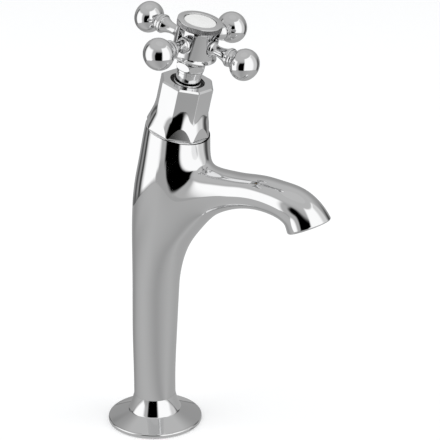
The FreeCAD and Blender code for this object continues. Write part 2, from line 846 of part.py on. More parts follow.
def jumper():
    """The valve's loose plate: its stem stands in the spindle and its screw holds the washer."""
    nut_base = washer_base - d.jumper_nut_height
    screw_end = nut_base - 0.4
    plate_round = 0.4
    return turned_piece("jumper", [
        (0, screw_end),
        (d.jumper_screw_radius, screw_end),
        (d.jumper_screw_radius, plate_base),
        (d.jumper_plate_radius, plate_base),
        (d.jumper_plate_radius, plate_top - plate_round),
        (d.jumper_plate_radius - plate_round, plate_top),
        (d.jumper_stem_radius, plate_top),
        (d.jumper_stem_radius, plate_top + d.jumper_stem_length),
        (0, plate_top + d.jumper_stem_length),
    ])


def jumper_washer():
    inner = d.jumper_screw_radius + d.fitting_gap
    return ring("jumper_washer", inner, d.jumper_plate_radius - 0.3, washer_base, plate_base)


def jumper_nut():
    body = new_body("jumper_nut")
    low = washer_base - d.jumper_nut_height
    pad(body, polygon_sketch(body, "flats", d.jumper_nut_corner, 6, low), d.jumper_nut_height)
    drill(body, d.jumper_screw_radius + d.thread_gap, low, washer_base)
    return body


# ---- handle and what turns with it ----------------------------------------------------------------

def spindle():
    body = new_body("spindle")
    blind_end = plate_top + d.jumper_stem_length + 1
    nose_round = 0.5
    turn(body, [
        (0, nose_base),
        (d.nose_radius - nose_round, nose_base),
        (d.nose_radius, nose_base + nose_round),
        (d.nose_radius, screw_base),
        (d.screw_radius, screw_base),
        (d.screw_radius, screw_top),
        (d.stem_radius, screw_top),
        (d.stem_radius, hub_floor),
        (0, hub_floor),
    ], "shaft")
    square = polygon_sketch(body, "square", d.stem_radius, 4, hub_floor, 45.0)
    pad(body, square, stem_end - hub_floor, "square_end")
    DOC.recompute()
    drill(body, d.jumper_stem_radius + d.running_gap, nose_base, blind_end, "jumper_bore")
    tapped_depth = d.screw_shank_length + 1
    drill(body, d.screw_shank_radius + d.thread_gap, stem_end - tapped_depth, stem_end, "tapped_hole")
    return body


def handle_hub():
    """A bell with four arched niches, one round the root of each arm."""
    body = new_body("handle_hub")
    lip = 0.8
    boss_recess = d.ring_boss_radius + d.fitting_gap
    boss_floor = hub_top - d.ring_boss_depth - d.fitting_gap
    screw_floor = stem_end + 0.3
    waist = hub_base + d.hub_height * 0.62
    turn(body, [
        (0, hub_base),
        (d.hub_skirt_radius - lip, hub_base),
        (d.hub_skirt_radius, hub_base + lip, lip),
        (d.hub_waist_radius, waist, -d.hub_bell_curve),
        (d.hub_top_radius, hub_top - lip),
        (d.hub_top_radius - lip / 2, hub_top),
        (0, hub_top),
    ], "bell")
    half = d.hub_niche_width / 2
    niche = outline(body, "niche_shape", [
        (-half, hub_top + 1),
        (-half, hub_base + d.hub_niche_bottom + half),
        (half, hub_base + d.hub_niche_bottom + half, half),
        (half, hub_top + 1),
    ], "YZ_Plane", d.hub_flat)
    DOC.recompute()
    niche_cut = pocket(body, niche, d.hub_skirt_radius, "niche", upward=True)
    hole = circle_sketch(body, "stud_circle", d.arm_stud_radius + d.fitting_gap, d.hub_flat, "YZ_Plane", arm_level)
    stud_cut = pocket(body, hole, d.arm_stud_length + d.fitting_gap, "stud_hole", upward=False)
    around(body, [niche_cut, stud_cut], 4)
    DOC.recompute()
    drill(body, d.hub_recess_radius, hub_base, hub_floor, "skirt_recess")
    square = polygon_sketch(body, "square", d.stem_radius + d.fitting_gap * SQUARE, 4, hub_floor, 45.0)
    pocket(body, square, screw_floor - hub_floor, "square_hole", upward=True)
    drill(body, d.screw_head_radius + d.fitting_gap * 3, screw_floor, hub_top, "screw_recess")
    drill(body, boss_recess, boss_floor, hub_top, "boss_recess")
    return body


def handle_arm(name):
    """Drawn upright, with its length from the hub's axis as the height."""
    ball_face = d.arm_length - ball_half + d.ball_flat_depth
    stud_base = d.hub_flat - d.arm_stud_length
    collar_top = ball_face - 1.3
    collar_base = collar_top - 1.4
    flare_end = collar_base - 0.8
    flare_radius = d.arm_collar_radius - 0.5
    neck_radius = d.arm_collar_radius - 0.6
    groove_radius = d.arm_collar_radius - 1.0
    return turned_piece(name, [
        (0, stud_base),
        (d.arm_stud_radius, stud_base),
        (d.arm_stud_radius, d.hub_flat),
        (d.arm_root_radius, d.hub_flat),
        (flare_radius, flare_end, -d.arm_waist_curve),
        (groove_radius, flare_end + 0.3),
        (groove_radius, collar_base),
        (d.arm_collar_radius - 0.3, collar_base),
        (d.arm_collar_radius, collar_base + 0.3),
        (d.arm_collar_radius, collar_top - 0.3),
        (d.arm_collar_radius - 0.3, collar_top),
        (neck_radius, collar_top),
        (neck_radius, ball_face),
        (d.ball_stud_radius, ball_face),
        (d.ball_stud_radius, ball_face + d.ball_stud_length),
        (0, ball_face + d.ball_stud_length),
    ])


def handle_ball(name):
    """A slightly flattened ball, drawn about its own centre with the arm below it: the round of its waist
    runs smoothly into a wider round at each end."""
    body = new_body(name)
    waist_in = d.ball_flattening + d.ball_ease
    waist_round = d.ball_radius - waist_in
    end_in = waist_in * waist_in / (d.ball_ease * 2) - d.ball_ease / 2
    end_round = ball_half + end_in
    join_across = end_round * waist_in / (end_round - waist_round)
    join_up = end_round * end_in / (end_round - waist_round) - end_in
    flat_down = ball_half - d.ball_flat_depth
    flat_across = square_root(end_round * end_round - (flat_down + end_in) * (flat_down + end_in))
    tip_across = size(0.4)
    tip_up = square_root(end_round * end_round - tip_across * tip_across) - end_in
    turn(body, [
        (0, -flat_down),
        (flat_across, -flat_down),
        (join_across, -join_up, end_round),
        (join_across, join_up, waist_round),
        (tip_across, tip_up, end_round),
        (0, tip_up),
    ], "round")
    DOC.recompute()
    drill(body, d.ball_stud_radius + d.fitting_gap, -flat_down, d.ball_stud_length + d.fitting_gap - flat_down)
    return body


def index_ring():
    edge_round = 0.7
    seat = hub_top + d.ring_height - d.disc_thickness - d.disc_recess
    boss = hub_top - d.ring_boss_depth
    crown = 0.5
    return turned_piece("index_ring", [
        (d.ring_hole_radius, boss),
        (d.ring_boss_radius, boss),
        (d.ring_boss_radius, hub_top),
        (d.ring_radius - edge_round, hub_top),
        (d.ring_radius, hub_top + edge_round, edge_round),
        (d.ring_radius, ring_top - crown - edge_round),
        (d.ring_radius - edge_round, ring_top - crown, edge_round),
        (d.disc_radius + 0.8, ring_top),
        (d.disc_radius + d.fitting_gap, ring_top),
        (d.disc_radius + d.fitting_gap, seat),
        (d.ring_hole_radius, seat),
    ])


def index_disc():
    low = ring_top - d.disc_recess - d.disc_thickness
    high = ring_top - d.disc_recess
    bevel = 0.3
    return turned_piece("index_disc", [
        (0, low),
        (d.disc_radius, low),
        (d.disc_radius, high - bevel),
        (d.disc_radius - bevel, high),
        (0, high),
    ])


def handle_screw():
    body = new_body("handle_screw")
    head_base = stem_end + 0.3
    head_top = head_base + d.screw_head_height
    head_round = 0.5
    turn(body, [
        (0, head_base - d.screw_shank_length),
        (d.screw_shank_radius, head_base - d.screw_shank_length),
        (d.screw_shank_radius, head_base),
        (d.screw_head_radius, head_base),
        (d.screw_head_radius, head_top - head_round),
        (d.screw_head_radius - head_round, head_top),
        (0, head_top),
    ])
    half_slot = 0.6
    slot = outline(body, "slot_shape", [
        (-d.screw_head_radius - 1, -half_slot),
        (d.screw_head_radius + 1, -half_slot),
        (d.screw_head_radius + 1, half_slot),
        (-d.screw_head_radius - 1, half_slot),
    ], "XY_Plane", head_top)
    DOC.recompute()
    pocket(body, slot, d.screw_head_height / 2, "slot", upward=False)
    return body


# ---- the whole tap ------------------------------------------------------------------------------

def build():
    tap_casting()
    inlet_tail()
    base_gasket()
    under_washer()
    backnut()
    head_pieces = [
        valve_seat(),
        bonnet(),
        bonnet_washer(),
        gland_washer(),
        gland_packing(),
        gland_nut(),
        bonnet_cover(),
        jumper(),
        jumper_washer(),
        jumper_nut(),
        spindle(),
        handle_hub(),
        index_ring(),
        index_disc(),
        handle_screw(),
    ]
    put_in_head(*head_pieces)
    outward = FreeCAD.Rotation(FreeCAD.Vector(0, 1, 0), 90)
    for name, degrees in (("front", 0), ("left", 90), ("rear", 180), ("right", 270)):
        along = turned_about_axis(degrees, arm_level.value).multiply(FreeCAD.Placement(FreeCAD.Vector(), outward))
        handle_arm("arm_" + name).Placement = along
        centre = FreeCAD.Placement(FreeCAD.Vector(0, 0, d.arm_length.value), FreeCAD.Rotation())
        handle_ball("ball_" + name).Placement = along.multiply(centre)
    DOC.recompute()


def check_and_export():
    troubled = [item.Label for item in DOC.Objects if "Invalid" in item.State or "Error" in item.State]
    if troubled:
        raise ValueError("not built: " + ", ".join(troubled))
    for piece in PIECES:
        if piece.Shape.isNull() or not piece.Shape.isValid():
            raise ValueError("no sound shape: " + piece.Label)
        if len(piece.Shape.Solids) != 1:
            raise ValueError("not one solid: " + piece.Label)
    os.makedirs("parts", exist_ok=True)
    for piece in PIECES:
        piece.Shape.exportStep("parts/%s.step" % piece.Label)


build()
check_and_export()
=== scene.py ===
import math

import bmesh
import bpy
import numpy as np
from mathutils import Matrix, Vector


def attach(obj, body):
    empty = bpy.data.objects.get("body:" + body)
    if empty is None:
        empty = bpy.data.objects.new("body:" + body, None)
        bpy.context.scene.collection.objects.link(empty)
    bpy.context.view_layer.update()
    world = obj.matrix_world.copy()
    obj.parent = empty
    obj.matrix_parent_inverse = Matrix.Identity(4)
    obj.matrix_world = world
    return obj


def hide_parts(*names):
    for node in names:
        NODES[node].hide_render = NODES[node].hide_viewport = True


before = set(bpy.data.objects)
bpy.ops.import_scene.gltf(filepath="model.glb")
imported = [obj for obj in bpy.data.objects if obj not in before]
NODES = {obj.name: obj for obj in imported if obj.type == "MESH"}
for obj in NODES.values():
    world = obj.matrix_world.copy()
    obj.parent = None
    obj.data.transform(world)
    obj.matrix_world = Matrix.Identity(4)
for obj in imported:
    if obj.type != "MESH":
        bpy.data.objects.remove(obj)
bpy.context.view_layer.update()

# Shapes are drawn in millimetres. The head leans forward from the column: its axis starts at
# LEAN_HEIGHT and runs LEAN_LENGTH to the casting's top face.
MM = 0.001
LEAN = math.radians(14.2)
LEAN_HEIGHT, LEAN_LENGTH = 97.1, 65.6
HEAD_TOP = np.array([LEAN_LENGTH * math.sin(LEAN), 0.0, LEAN_HEIGHT + LEAN_LENGTH * math.cos(LEAN)])
HEAD_AXIS = np.array([math.sin(LEAN), 0.0, math.cos(LEAN)])
HEAD_FRONT = np.array([math.cos(LEAN), 0.0, -math.sin(LEAN)])
HEAD_SIDE = np.array([0.0, 1.0, 0.0])
ARMS = {"arm_front": 0, "arm_left": 90, "arm_rear": 180, "arm_right": 270}


def put(name, data):
    """A new object in the scene."""
    made = bpy.data.objects.new(name, data)
    bpy.context.scene.collection.objects.link(made)
    return made


def full_turn(steps):
    return np.linspace(0, 2 * math.pi, steps, endpoint=False)


def ease(value, low, high):
    """A soft step from none at low to one at high."""
    share = np.clip((value - low) / (high - low), 0.0, 1.0)
    return share * share * (3 - 2 * share)


def grid_faces(rows, columns, closed=True, base=0):
    """The faces between rows of points; closed joins each row's ends."""
    faces = []
    for row in range(base, base + (rows - 1) * columns, columns):
        for column in range(columns if closed else columns - 1):
            after = (column + 1) % columns
            faces.append((row + column, row + after, row + columns + after, row + columns + column))
    return faces


# ---- small helpers for node trees ---------------------------------------------------------------

def feed(tree, value, socket):
    """Joins another socket to this one, or sets its number, vector or colour."""
    if isinstance(value, bpy.types.NodeSocket):
        tree.links.new(value, socket)
    elif socket.type == "RGBA":
        socket.default_value = (*value, 1.0)
    else:
        socket.default_value = value


def add_node(tree, kind, *values, **settings):
    """A node of a kind with its settings; the values go to its inputs in their order."""
    node = tree.nodes.new("ShaderNode" + kind)
    for name, value in settings.items():
        setattr(node, name, value)
    for value, socket in zip(values, node.inputs):
        feed(tree, value, socket)
    return node


def fill(tree, node, **values):
    """Feeds inputs by name, written with a low line for each space, and gives the outputs."""
    for name, value in values.items():
        feed(tree, value, node.inputs[name.replace("_", " ")])
    return node.outputs


def maths(tree, operation, *values, clamp=False):
    """One sum on numbers or sockets, giving its socket."""
    return add_node(tree, "Math", *values, operation=operation, use_clamp=clamp).outputs[0]


def times(tree, first, second):
    return maths(tree, "MULTIPLY", first, second)


def raised(tree, base, mask, amount):
    """A value that rises from its base by the mask's share of an amount."""
    return maths(tree, "ADD", base, times(tree, mask, amount))


def lowered(tree, mask, amount):
    """One, less the mask's share of an amount."""
    return maths(tree, "SUBTRACT", 1.0, times(tree, mask, amount))


def between(tree, value, low, high):
    """How far a value has come from low to high, held at none and one."""
    return fill(tree, add_node(tree, "MapRange"), Value=value, From_Min=low, From_Max=high)["Result"]


def blend_colours(tree, amount, first, second):
    node = add_node(tree, "Mix", amount, data_type="RGBA")
    feed(tree, first, node.inputs[6])
    feed(tree, second, node.inputs[7])
    return node.outputs[2]


def object_place(tree):
    """Where a spot lies on the object."""
    return add_node(tree, "TexCoord").outputs["Object"]


def noise(tree, where, scale, detail=2.0, roughness=0.5, distortion=0.0):
    return fill(tree, add_node(tree, "TexNoise"), Vector=where, Scale=scale, Detail=detail,
                Roughness=roughness, Distortion=distortion)["Fac"]


def stretched(tree, where, scale, turn=(0.0, 0.0, 0.0)):
    return fill(tree, add_node(tree, "Mapping"), Vector=where, Scale=scale, Rotation=turn)["Vector"]


def height_along(tree, where, sine, cosine):
    """How far up a spot lies along an axis that leans forward by an angle of this sine and cosine."""
    parts = add_node(tree, "SeparateXYZ", where).outputs
    return maths(tree, "ADD", times(tree, parts[0], sine), times(tree, parts[2], cosine))


def seen_rays(tree):
    """One for rays from the camera, off mirrors and through glass, and none for the rest."""
    path = add_node(tree, "LightPath").outputs
    seen = maths(tree, "MAXIMUM", path["Is Camera Ray"], path["Is Glossy Ray"])
    return maths(tree, "MAXIMUM", seen, path["Is Transmission Ray"])


def new_group(name, results, **numbers):
    """An empty effect: numbers go in and values come out, each by its name."""
    tree = bpy.data.node_groups.new(name, "ShaderNodeTree")
    for label, value in numbers.items():
        label = label.replace("_", " ")
        tree.interface.new_socket(label, in_out="INPUT", socket_type="NodeSocketFloat").default_value = value
    for label in results:
        tree.interface.new_socket(label, in_out="OUTPUT", socket_type="NodeSocketFloat")
    given = tree.nodes.new("NodeGroupInput").outputs
    return tree, given, tree.nodes.new("NodeGroupOutput"), object_place(tree)


# ---- effects shared by the finishes ---------------------------------------------------------------

def buffing_effect():
    """What a polishing mop leaves on plate: fine curved scratches, soft swells and a wiped haze."""
    tree, given, result, place = new_group(
        "buffing marks", ("Rough", "Height", "Dull"), Scratch=1.0, Swell=1.0, Haze=1.0)
    swirl = stretched(tree, place, (140.0, 1500.0, 420.0), (0.3, 0.5, 0.2))
    across = stretched(tree, place, (1300.0, 160.0, 300.0), (0.7, -0.2, 0.9))
    cloth = stretched(tree, place, (30.0, 30.0, 14.0))
    fine = between(tree, noise(tree, swirl, 1.0, 3.0, 0.6, 0.4), 0.56, 0.72)
    cross = between(tree, noise(tree, across, 1.0, 3.0, 0.6, 0.3), 0.60, 0.74)
    wiped = between(tree, noise(tree, cloth, 1.0, 4.0, 0.6, 0.8), 0.42, 0.78)
    scratch = times(tree, maths(tree, "MAXIMUM", fine, cross), given["Scratch"])
    haze = times(tree, wiped, given["Haze"])
    swell = times(tree, noise(tree, place, 95.0, 2.0, 0.45), given["Swell"])
    fill(tree, result, Rough=maths(tree, "ADD", times(tree, haze, 0.75), times(tree, scratch, 0.25)),
         Height=maths(tree, "SUBTRACT", swell, times(tree, scratch, 0.06)), Dull=haze)
    return tree


def water_mark_effect():
    """Dried drops: faint rings with a filled middle, in a few of the cells where a drop could lie."""
    tree, given, result, place = new_group("dried drops", ("Mark",), Amount=1.0, Per_Metre=150.0)
    cells = fill(tree, add_node(tree, "TexVoronoi"), Vector=place, Scale=given["Per Metre"], Randomness=1.0)
    edge, line = 0.22, 0.05
    off_edge = maths(tree, "ABSOLUTE", maths(tree, "SUBTRACT", cells["Distance"], edge))
    ring = maths(tree, "SUBTRACT", 1.0, between(tree, off_edge, 0.0, line), clamp=True)
    middle = times(tree, between(tree, cells["Distance"], edge, line), 0.35)
    chance = add_node(tree, "SeparateColor", cells["Color"]).outputs[0]
    drop = times(tree, maths(tree, "MAXIMUM", ring, middle), between(tree, chance, 0.70, 0.80))
    fill(tree, result, Mark=times(tree, drop, given["Amount"]))
    return tree


def turning_effect():
    """Tool lines round an axis that leans forward, with a slow change of shade from line to line."""
    tree, given, result, place = new_group("turning lines", ("Height", "Shade"), Pitch=0.00025, Lean=LEAN)
    lean = given["Lean"]
    along = height_along(tree, place, maths(tree, "SINE", lean), maths(tree, "COSINE", lean))
    wobble = times(tree, noise(tree, place, 60.0), 0.00012)
    lines = maths(tree, "DIVIDE", maths(tree, "ADD", along, wobble), given["Pitch"])
    wave = maths(tree, "SINE", times(tree, lines, 2 * math.pi))
    bands = fill(tree, add_node(tree, "CombineXYZ"), Z=times(tree, along, 1400.0))[0]
    fill(tree, result, Height=times(tree, maths(tree, "ADD", wave, 1.0), 0.5),
         Shade=noise(tree, bands, 1.0, 3.0, 0.6))
    return tree


def grime_effect():
    """Dust and grease that gather in patches, with specks."""
    tree, given, result, place = new_group("grime", ("Patches", "Specks"), Patch=60.0, Speck=1800.0)
    fill(tree, result, Patches=between(tree, noise(tree, place, given["Patch"], 5.0, 0.6), 0.40, 0.72),
         Specks=between(tree, noise(tree, place, given["Speck"]), 0.55, 0.75))
    return tree


def use_effect(tree, effect, **numbers):
    node = tree.nodes.new("ShaderNodeGroup")
    node.node_tree = effect
    return fill(tree, node, **numbers)


BUFFING = buffing_effect()
WATER_MARKS = water_mark_effect()
TURNING = turning_effect()
GRIME = grime_effect()


# ---- finishes -------------------------------------------------------------------------------------

BRIGHT_PLATE, DULLED_PLATE = (0.800, 0.802, 0.806), (0.735, 0.738, 0.742)
BRASS, BROWNED_BRASS = (0.70, 0.50, 0.22), (0.36, 0.23, 0.10)
ZINC = (0.56, 0.56, 0.57)


def new_finish(name, base, metallic, rough, **values):
    """A material and its node tree, with what its shader starts from."""
    material = bpy.data.materials.new(name)
    material.use_nodes = True
    tree = material.node_tree
    fill(tree, tree.nodes["Principled BSDF"], Base_Color=base, Metallic=metallic, Roughness=rough, **values)
    return material, tree


def finished(material, colour, rough, height, distance, strength):
    """Wires what changes over the surface: its colour, its roughness and a fine relief."""
    tree = material.node_tree
    relief = fill(tree, add_node(tree, "Bump"), Strength=strength, Distance=distance, Height=height)["Normal"]
    fill(tree, tree.nodes["Principled BSDF"], Base_Color=colour, Roughness=rough, Normal=relief)
    return material


def chrome(name, rough, swell):
    """Polished chrome plate."""
    material, tree = new_finish(name, BRIGHT_PLATE, 1.0, rough)
    buffed = use_effect(tree, BUFFING, Scratch=1.0, Swell=swell, Haze=1.0)
    mark = use_effect(tree, WATER_MARKS, Amount=0.5, Per_Metre=150.0)["Mark"]
    grey = maths(tree, "ADD", times(tree, buffed["Dull"], 0.35), times(tree, mark, 0.5), clamp=True)
    spread = maths(tree, "ADD", times(tree, buffed["Rough"], 0.045), times(tree, mark, 0.05))
    return finished(material, blend_colours(tree, grey, BRIGHT_PLATE, DULLED_PLATE),
                    maths(tree, "ADD", spread, rough), buffed["Height"], 0.00002, 0.35)


def fluted_chrome(name):
    """Chrome on the cap ring's fluting, painted dark for the shade between the flutes, with patches and
    specks of dirt.
    """
    material, tree = new_finish(name, (0.36, 0.36, 0.365), 1.0, 0.16)
    dirt = use_effect(tree, GRIME, Patch=240.0, Speck=2600.0)
    buffed = use_effect(tree, BUFFING, Scratch=1.0, Swell=0.3, Haze=1.0)
    patches, specks = times(tree, dirt["Patches"], 0.6), times(tree, dirt["Specks"], 0.4)
    # painted shade: the fluting's chrome is laid far darker than the plate elsewhere, for the shade between
    # the flutes; patches and specks of dirt darken it further
    dirt_and_painted_shade = maths(tree, "ADD", patches, specks, clamp=True)
    colour = blend_colours(tree, dirt_and_painted_shade, (0.40, 0.40, 0.405), (0.12, 0.12, 0.125))
    return finished(material, colour, raised(tree, 0.12, dirt_and_painted_shade, 0.2), buffed["Height"], 0.00002, 0.4)


def turned_brass(name, lean):
    """Machined brass with tool lines, browned in patches."""
    material, tree = new_finish(name, BRASS, 1.0, 0.25)
    lines = use_effect(tree, TURNING, Pitch=0.00022, Lean=lean)
    patches = use_effect(tree, GRIME, Patch=75.0, Speck=1500.0)["Patches"]
    shade = blend_colours(tree, between(tree, lines["Shade"], 0.35, 0.65), BRASS, (0.60, 0.41, 0.17))
    colour = blend_colours(tree, times(tree, patches, 0.55), shade, BROWNED_BRASS)
    return finished(material, colour, raised(tree, 0.20, patches, 0.25), lines["Height"], 0.000012, 0.6)


def plated_head(name):
    """Brass below, and chrome from the neck up; painted shade darkens the step inside the cover nearly to
    black.
    """
    material, tree = new_finish(name, BRASS, 1.0, 0.2)
    lines = use_effect(tree, TURNING, Pitch=0.00022, Lean=LEAN)
    patches = use_effect(tree, GRIME, Patch=75.0, Speck=1500.0)["Patches"]
    along = height_along(tree, object_place(tree), math.sin(LEAN), math.cos(LEAN))
    foot = float(HEAD_TOP @ HEAD_AXIS) * MM
    plated = between(tree, along, foot + 0.0240, foot + 0.0242)
    # painted shade: the brass from 15 mm up to the plating at 24 mm above the casting's top face, inside the
    # cover, is darkened nearly to black
    painted_shade_in_cover = times(tree, between(tree, along, foot + 0.0150, foot + 0.0180),
                    maths(tree, "SUBTRACT", 1.0, plated))
    brass = blend_colours(tree, times(tree, patches, 0.55), BRASS, BROWNED_BRASS)
    bare = blend_colours(tree, painted_shade_in_cover, brass, (0.012, 0.011, 0.010))
    rough = times(tree, raised(tree, 0.22, patches, 0.25), lowered(tree, plated, 0.86))
    height = times(tree, lines["Height"], lowered(tree, plated, 0.9))
    return finished(material, blend_colours(tree, plated, bare, BRIGHT_PLATE), rough, height, 0.000012, 0.6)


def plated_steel(name):
    """Zinc-plated steel, turned and lightly spangled."""
    material, tree = new_finish(name, ZINC, 1.0, 0.35)
    lines = use_effect(tree, TURNING, Pitch=0.0003, Lean=LEAN)
    dirt = use_effect(tree, GRIME, Patch=140.0, Speck=2400.0)
    colour = blend_colours(tree, dirt["Patches"], ZINC, (0.43, 0.43, 0.45))
    return finished(material, colour, raised(tree, 0.28, dirt["Specks"], 0.2), lines["Height"], 0.00001, 0.5)


def moulded_rubber(name):
    material, tree = new_finish(name, (0.035, 0.035, 0.037), 0.0, 0.7)
    dirt = use_effect(tree, GRIME, Patch=50.0, Speck=2600.0)
    colour = blend_colours(tree, dirt["Patches"], (0.032, 0.032, 0.034), (0.075, 0.073, 0.070))
    return finished(material, colour, raised(tree, 0.58, dirt["Patches"], 0.25), dirt["Specks"], 0.00003, 0.8)


def moulded_nylon(name):
    material, tree = new_finish(name, (0.82, 0.81, 0.77), 0.0, 0.45, Subsurface_Weight=0.1,
                                Subsurface_Radius=(0.002, 0.0018, 0.0015))
    dirt = use_effect(tree, GRIME, Patch=90.0, Speck=900.0)
    colour = blend_colours(tree, dirt["Patches"], (0.84, 0.83, 0.79), (0.74, 0.72, 0.66))
    return finished(material, colour, raised(tree, 0.38, dirt["Specks"], 0.2), dirt["Specks"], 0.00002, 0.6)


def pressed_fibre(name):
    """Red vulcanised fibre, faintly streaked."""
    material, tree = new_finish(name, (0.40, 0.10, 0.06), 0.0, 0.6)
    dirt = use_effect(tree, GRIME, Patch=260.0, Speck=3200.0)
    grain = stretched(tree, object_place(tree), (200.0, 2600.0, 900.0))
    streaks = between(tree, noise(tree, grain, 1.0, 3.0), 0.35, 0.65)
    shade = blend_colours(tree, streaks, (0.43, 0.11, 0.06), (0.31, 0.07, 0.04))
    colour = blend_colours(tree, times(tree, dirt["Specks"], 0.4), shade, (0.52, 0.24, 0.16))
    return finished(material, colour, raised(tree, 0.52, dirt["Patches"], 0.2), streaks, 0.00003, 0.6)


def greased_yarn(name):
    """Plaited packing yarn wound round the stem."""
    material, tree = new_finish(name, (0.27, 0.25, 0.21), 0.0, 0.55)
    # stood upright, the head's axis is this far forward of the column's
    stem = -0.0238
    upright = fill(tree, add_node(tree, "VectorRotate", rotation_type="Y_AXIS"),
                   Vector=object_place(tree), Angle=-LEAN)[0]
    parts = add_node(tree, "SeparateXYZ", upright).outputs
    turn = times(tree, maths(tree, "ARCTAN2", parts[1], maths(tree, "SUBTRACT", parts[0], stem)), 26.0)
    climb = times(tree, parts[2], 6000.0)
    one_way = maths(tree, "SINE", maths(tree, "ADD", turn, climb))
    other_way = maths(tree, "SINE", maths(tree, "SUBTRACT", turn, climb))
    plait = between(tree, maths(tree, "MAXIMUM", one_way, other_way), -0.2, 1.0)
    patches = use_effect(tree, GRIME, Patch=400.0, Speck=3000.0)["Patches"]
    colour = blend_colours(tree, plait, (0.13, 0.12, 0.10), (0.33, 0.31, 0.26))
    return finished(material, colour, raised(tree, 0.40, patches, 0.35), plait, 0.00012, 0.9)


def white_enamel(name):
    """Fired white enamel, bare, with a faint orange-peel."""
    material, tree = new_finish(name, (0.86, 0.86, 0.85), 0.0, 0.16, Coat_Weight=0.6, Coat_Roughness=0.05)
    dirt = use_effect(tree, GRIME, Patch=300.0, Speck=2200.0)
    colour = blend_colours(tree, times(tree, dirt["Patches"], 0.5), (0.88, 0.88, 0.87), (0.82, 0.82, 0.80))
    peel = noise(tree, object_place(tree), 900.0, 1.0)
    return finished(material, colour, raised(tree, 0.13, dirt["Specks"], 0.12), peel, 0.00001, 0.5)


CHROME_CASTING = chrome("chrome on the casting", rough=0.03, swell=0.6)
CHROME_TURNED = chrome("chrome on turned pieces", rough=0.025, swell=0.3)
CHROME_FLUTED = fluted_chrome("fluted chrome")
CHROME_FACETED = chrome("chrome on the cover and nuts", rough=0.03, swell=0.2)
BRASS_HEAD = turned_brass("brass of the valve head", LEAN)
BRASS_TAIL = turned_brass("brass of the tail", 0.0)
ENAMEL = white_enamel("white enamel")


def dress(finish, *names):
    for name in names:
        mesh = NODES[name].data
        mesh.materials.clear()
        mesh.materials.append(finish)


dress(CHROME_CASTING, "tap_body")
dress(CHROME_FACETED, "bonnet_cover", "gland_nut", "handle_hub")
dress(CHROME_TURNED, *ARMS, "ball_front", "ball_left", "ball_rear", "ball_right", "index_ring")
dress(ENAMEL, "index_disc")
dress(plated_head("brass and chrome of the bonnet"), "bonnet")
dress(BRASS_HEAD, "spindle", "jumper", "valve_seat")
dress(BRASS_TAIL, "inlet_tail", "backnut")
dress(plated_steel("plated steel"), "handle_screw", "jumper_nut")
dress(moulded_rubber("black rubber"), "base_gasket", "jumper_washer")
dress(moulded_nylon("moulded nylon"), "under_washer", "gland_washer")
dress(pressed_fibre("red fibre"), "bonnet_washer")
dress(greased_yarn("greased yarn"), "gland_packing")


# ---- casting -----------------------------------------------------------------------------------------
# The trunk and the swan neck are each a line with a thickness; the skin is where their fields meet,
# swollen along the flanks as the metal flows from one into the other.

CREST = HEAD_TOP[2] - 22.0
MOUTH = np.array([92.75, 0.0, CREST - 11.5])
MOUTH_DOWN = np.array([math.sin(math.radians(155)), 0.0, math.cos(math.radians(155))])


class SmoothLine:
    """A line through stations (forward, up, half height, half width), as one natural cubic."""

    def __init__(self, stations):
        self.rows = np.array(stations, float)
        steps = np.linalg.norm(np.diff(self.rows[:, :2], axis=0), axis=1)
        self.at = np.concatenate([[0.0], np.cumsum(steps)])
        count = len(self.at)
        left, right = np.zeros((count, count)), np.zeros((count, self.rows.shape[1]))
        left[0, 0] = left[-1, -1] = 1.0
        for k in range(1, count - 1):
            before, after = steps[k - 1], steps[k]
            left[k, k - 1:k + 2] = before / 6, (before + after) / 3, after / 6
            right[k] = (self.rows[k + 1] - self.rows[k]) / after - (self.rows[k] - self.rows[k - 1]) / before
        self.bend = np.linalg.solve(left, right)
        self.length = self.at[-1]

    def __call__(self, where):
        where = np.clip(where, 0.0, self.length)
        k = np.clip(np.searchsorted(self.at, where) - 1, 0, len(self.at) - 2)
        step = self.at[k + 1] - self.at[k]
        late = ((where - self.at[k]) / step)[:, None]
        early = 1 - late
        step = step[:, None]
        bent = (early ** 3 - early) * self.bend[k] + (late ** 3 - late) * self.bend[k + 1]
        return early * self.rows[k] + late * self.rows[k + 1] + bent * step ** 2 / 6

    def headings(self, stops):
        """The way that the line runs at each stop."""
        ahead = self(np.minimum(stops + 0.01, self.length)) - self(np.maximum(stops - 0.01, 0))
        return [np.array([step[0], 0.0, step[1]]) / math.hypot(step[0], step[1]) for step in ahead]


def trunk_line():
    stations = [(0.0, -6.0, 10.6, 10.6), (0.0, 12.0, 10.6, 10.6), (0.0, 24.0, 10.6, 10.6),
                (0.5, 48.0, 11.2, 11.2), (1.9, 81.0, 11.9, 11.9), (4.9, 110.7, 14.0, 13.9)]
    # the head swells toward the spout below its rim, while its back runs straight
    for share, forward, radius, side in ((0.5488, 2.1, 16.9, 16.8), (0.6950, 2.1, 17.0, 17.0),
                                         (0.8232, 1.5, 16.7, 16.7), (0.92, 0.75, 16.2, 16.2),
                                         (1.0, 0.0, 15.5, 15.5), (1.12, -1.1, 14.1, 14.1)):
        spot = LEAN_LENGTH * share
        stations.append((spot * math.sin(LEAN) + forward * math.cos(LEAN),
                         LEAN_HEIGHT + spot * math.cos(LEAN) - forward * math.sin(LEAN), radius, side))
    return SmoothLine(stations)


def neck_spot(share, down):
    """A spot of the swan neck's middle: its share of the reach, and how far it is down from the crest."""
    return MOUTH[0] * share, CREST - 0.5 - 56.0 * down


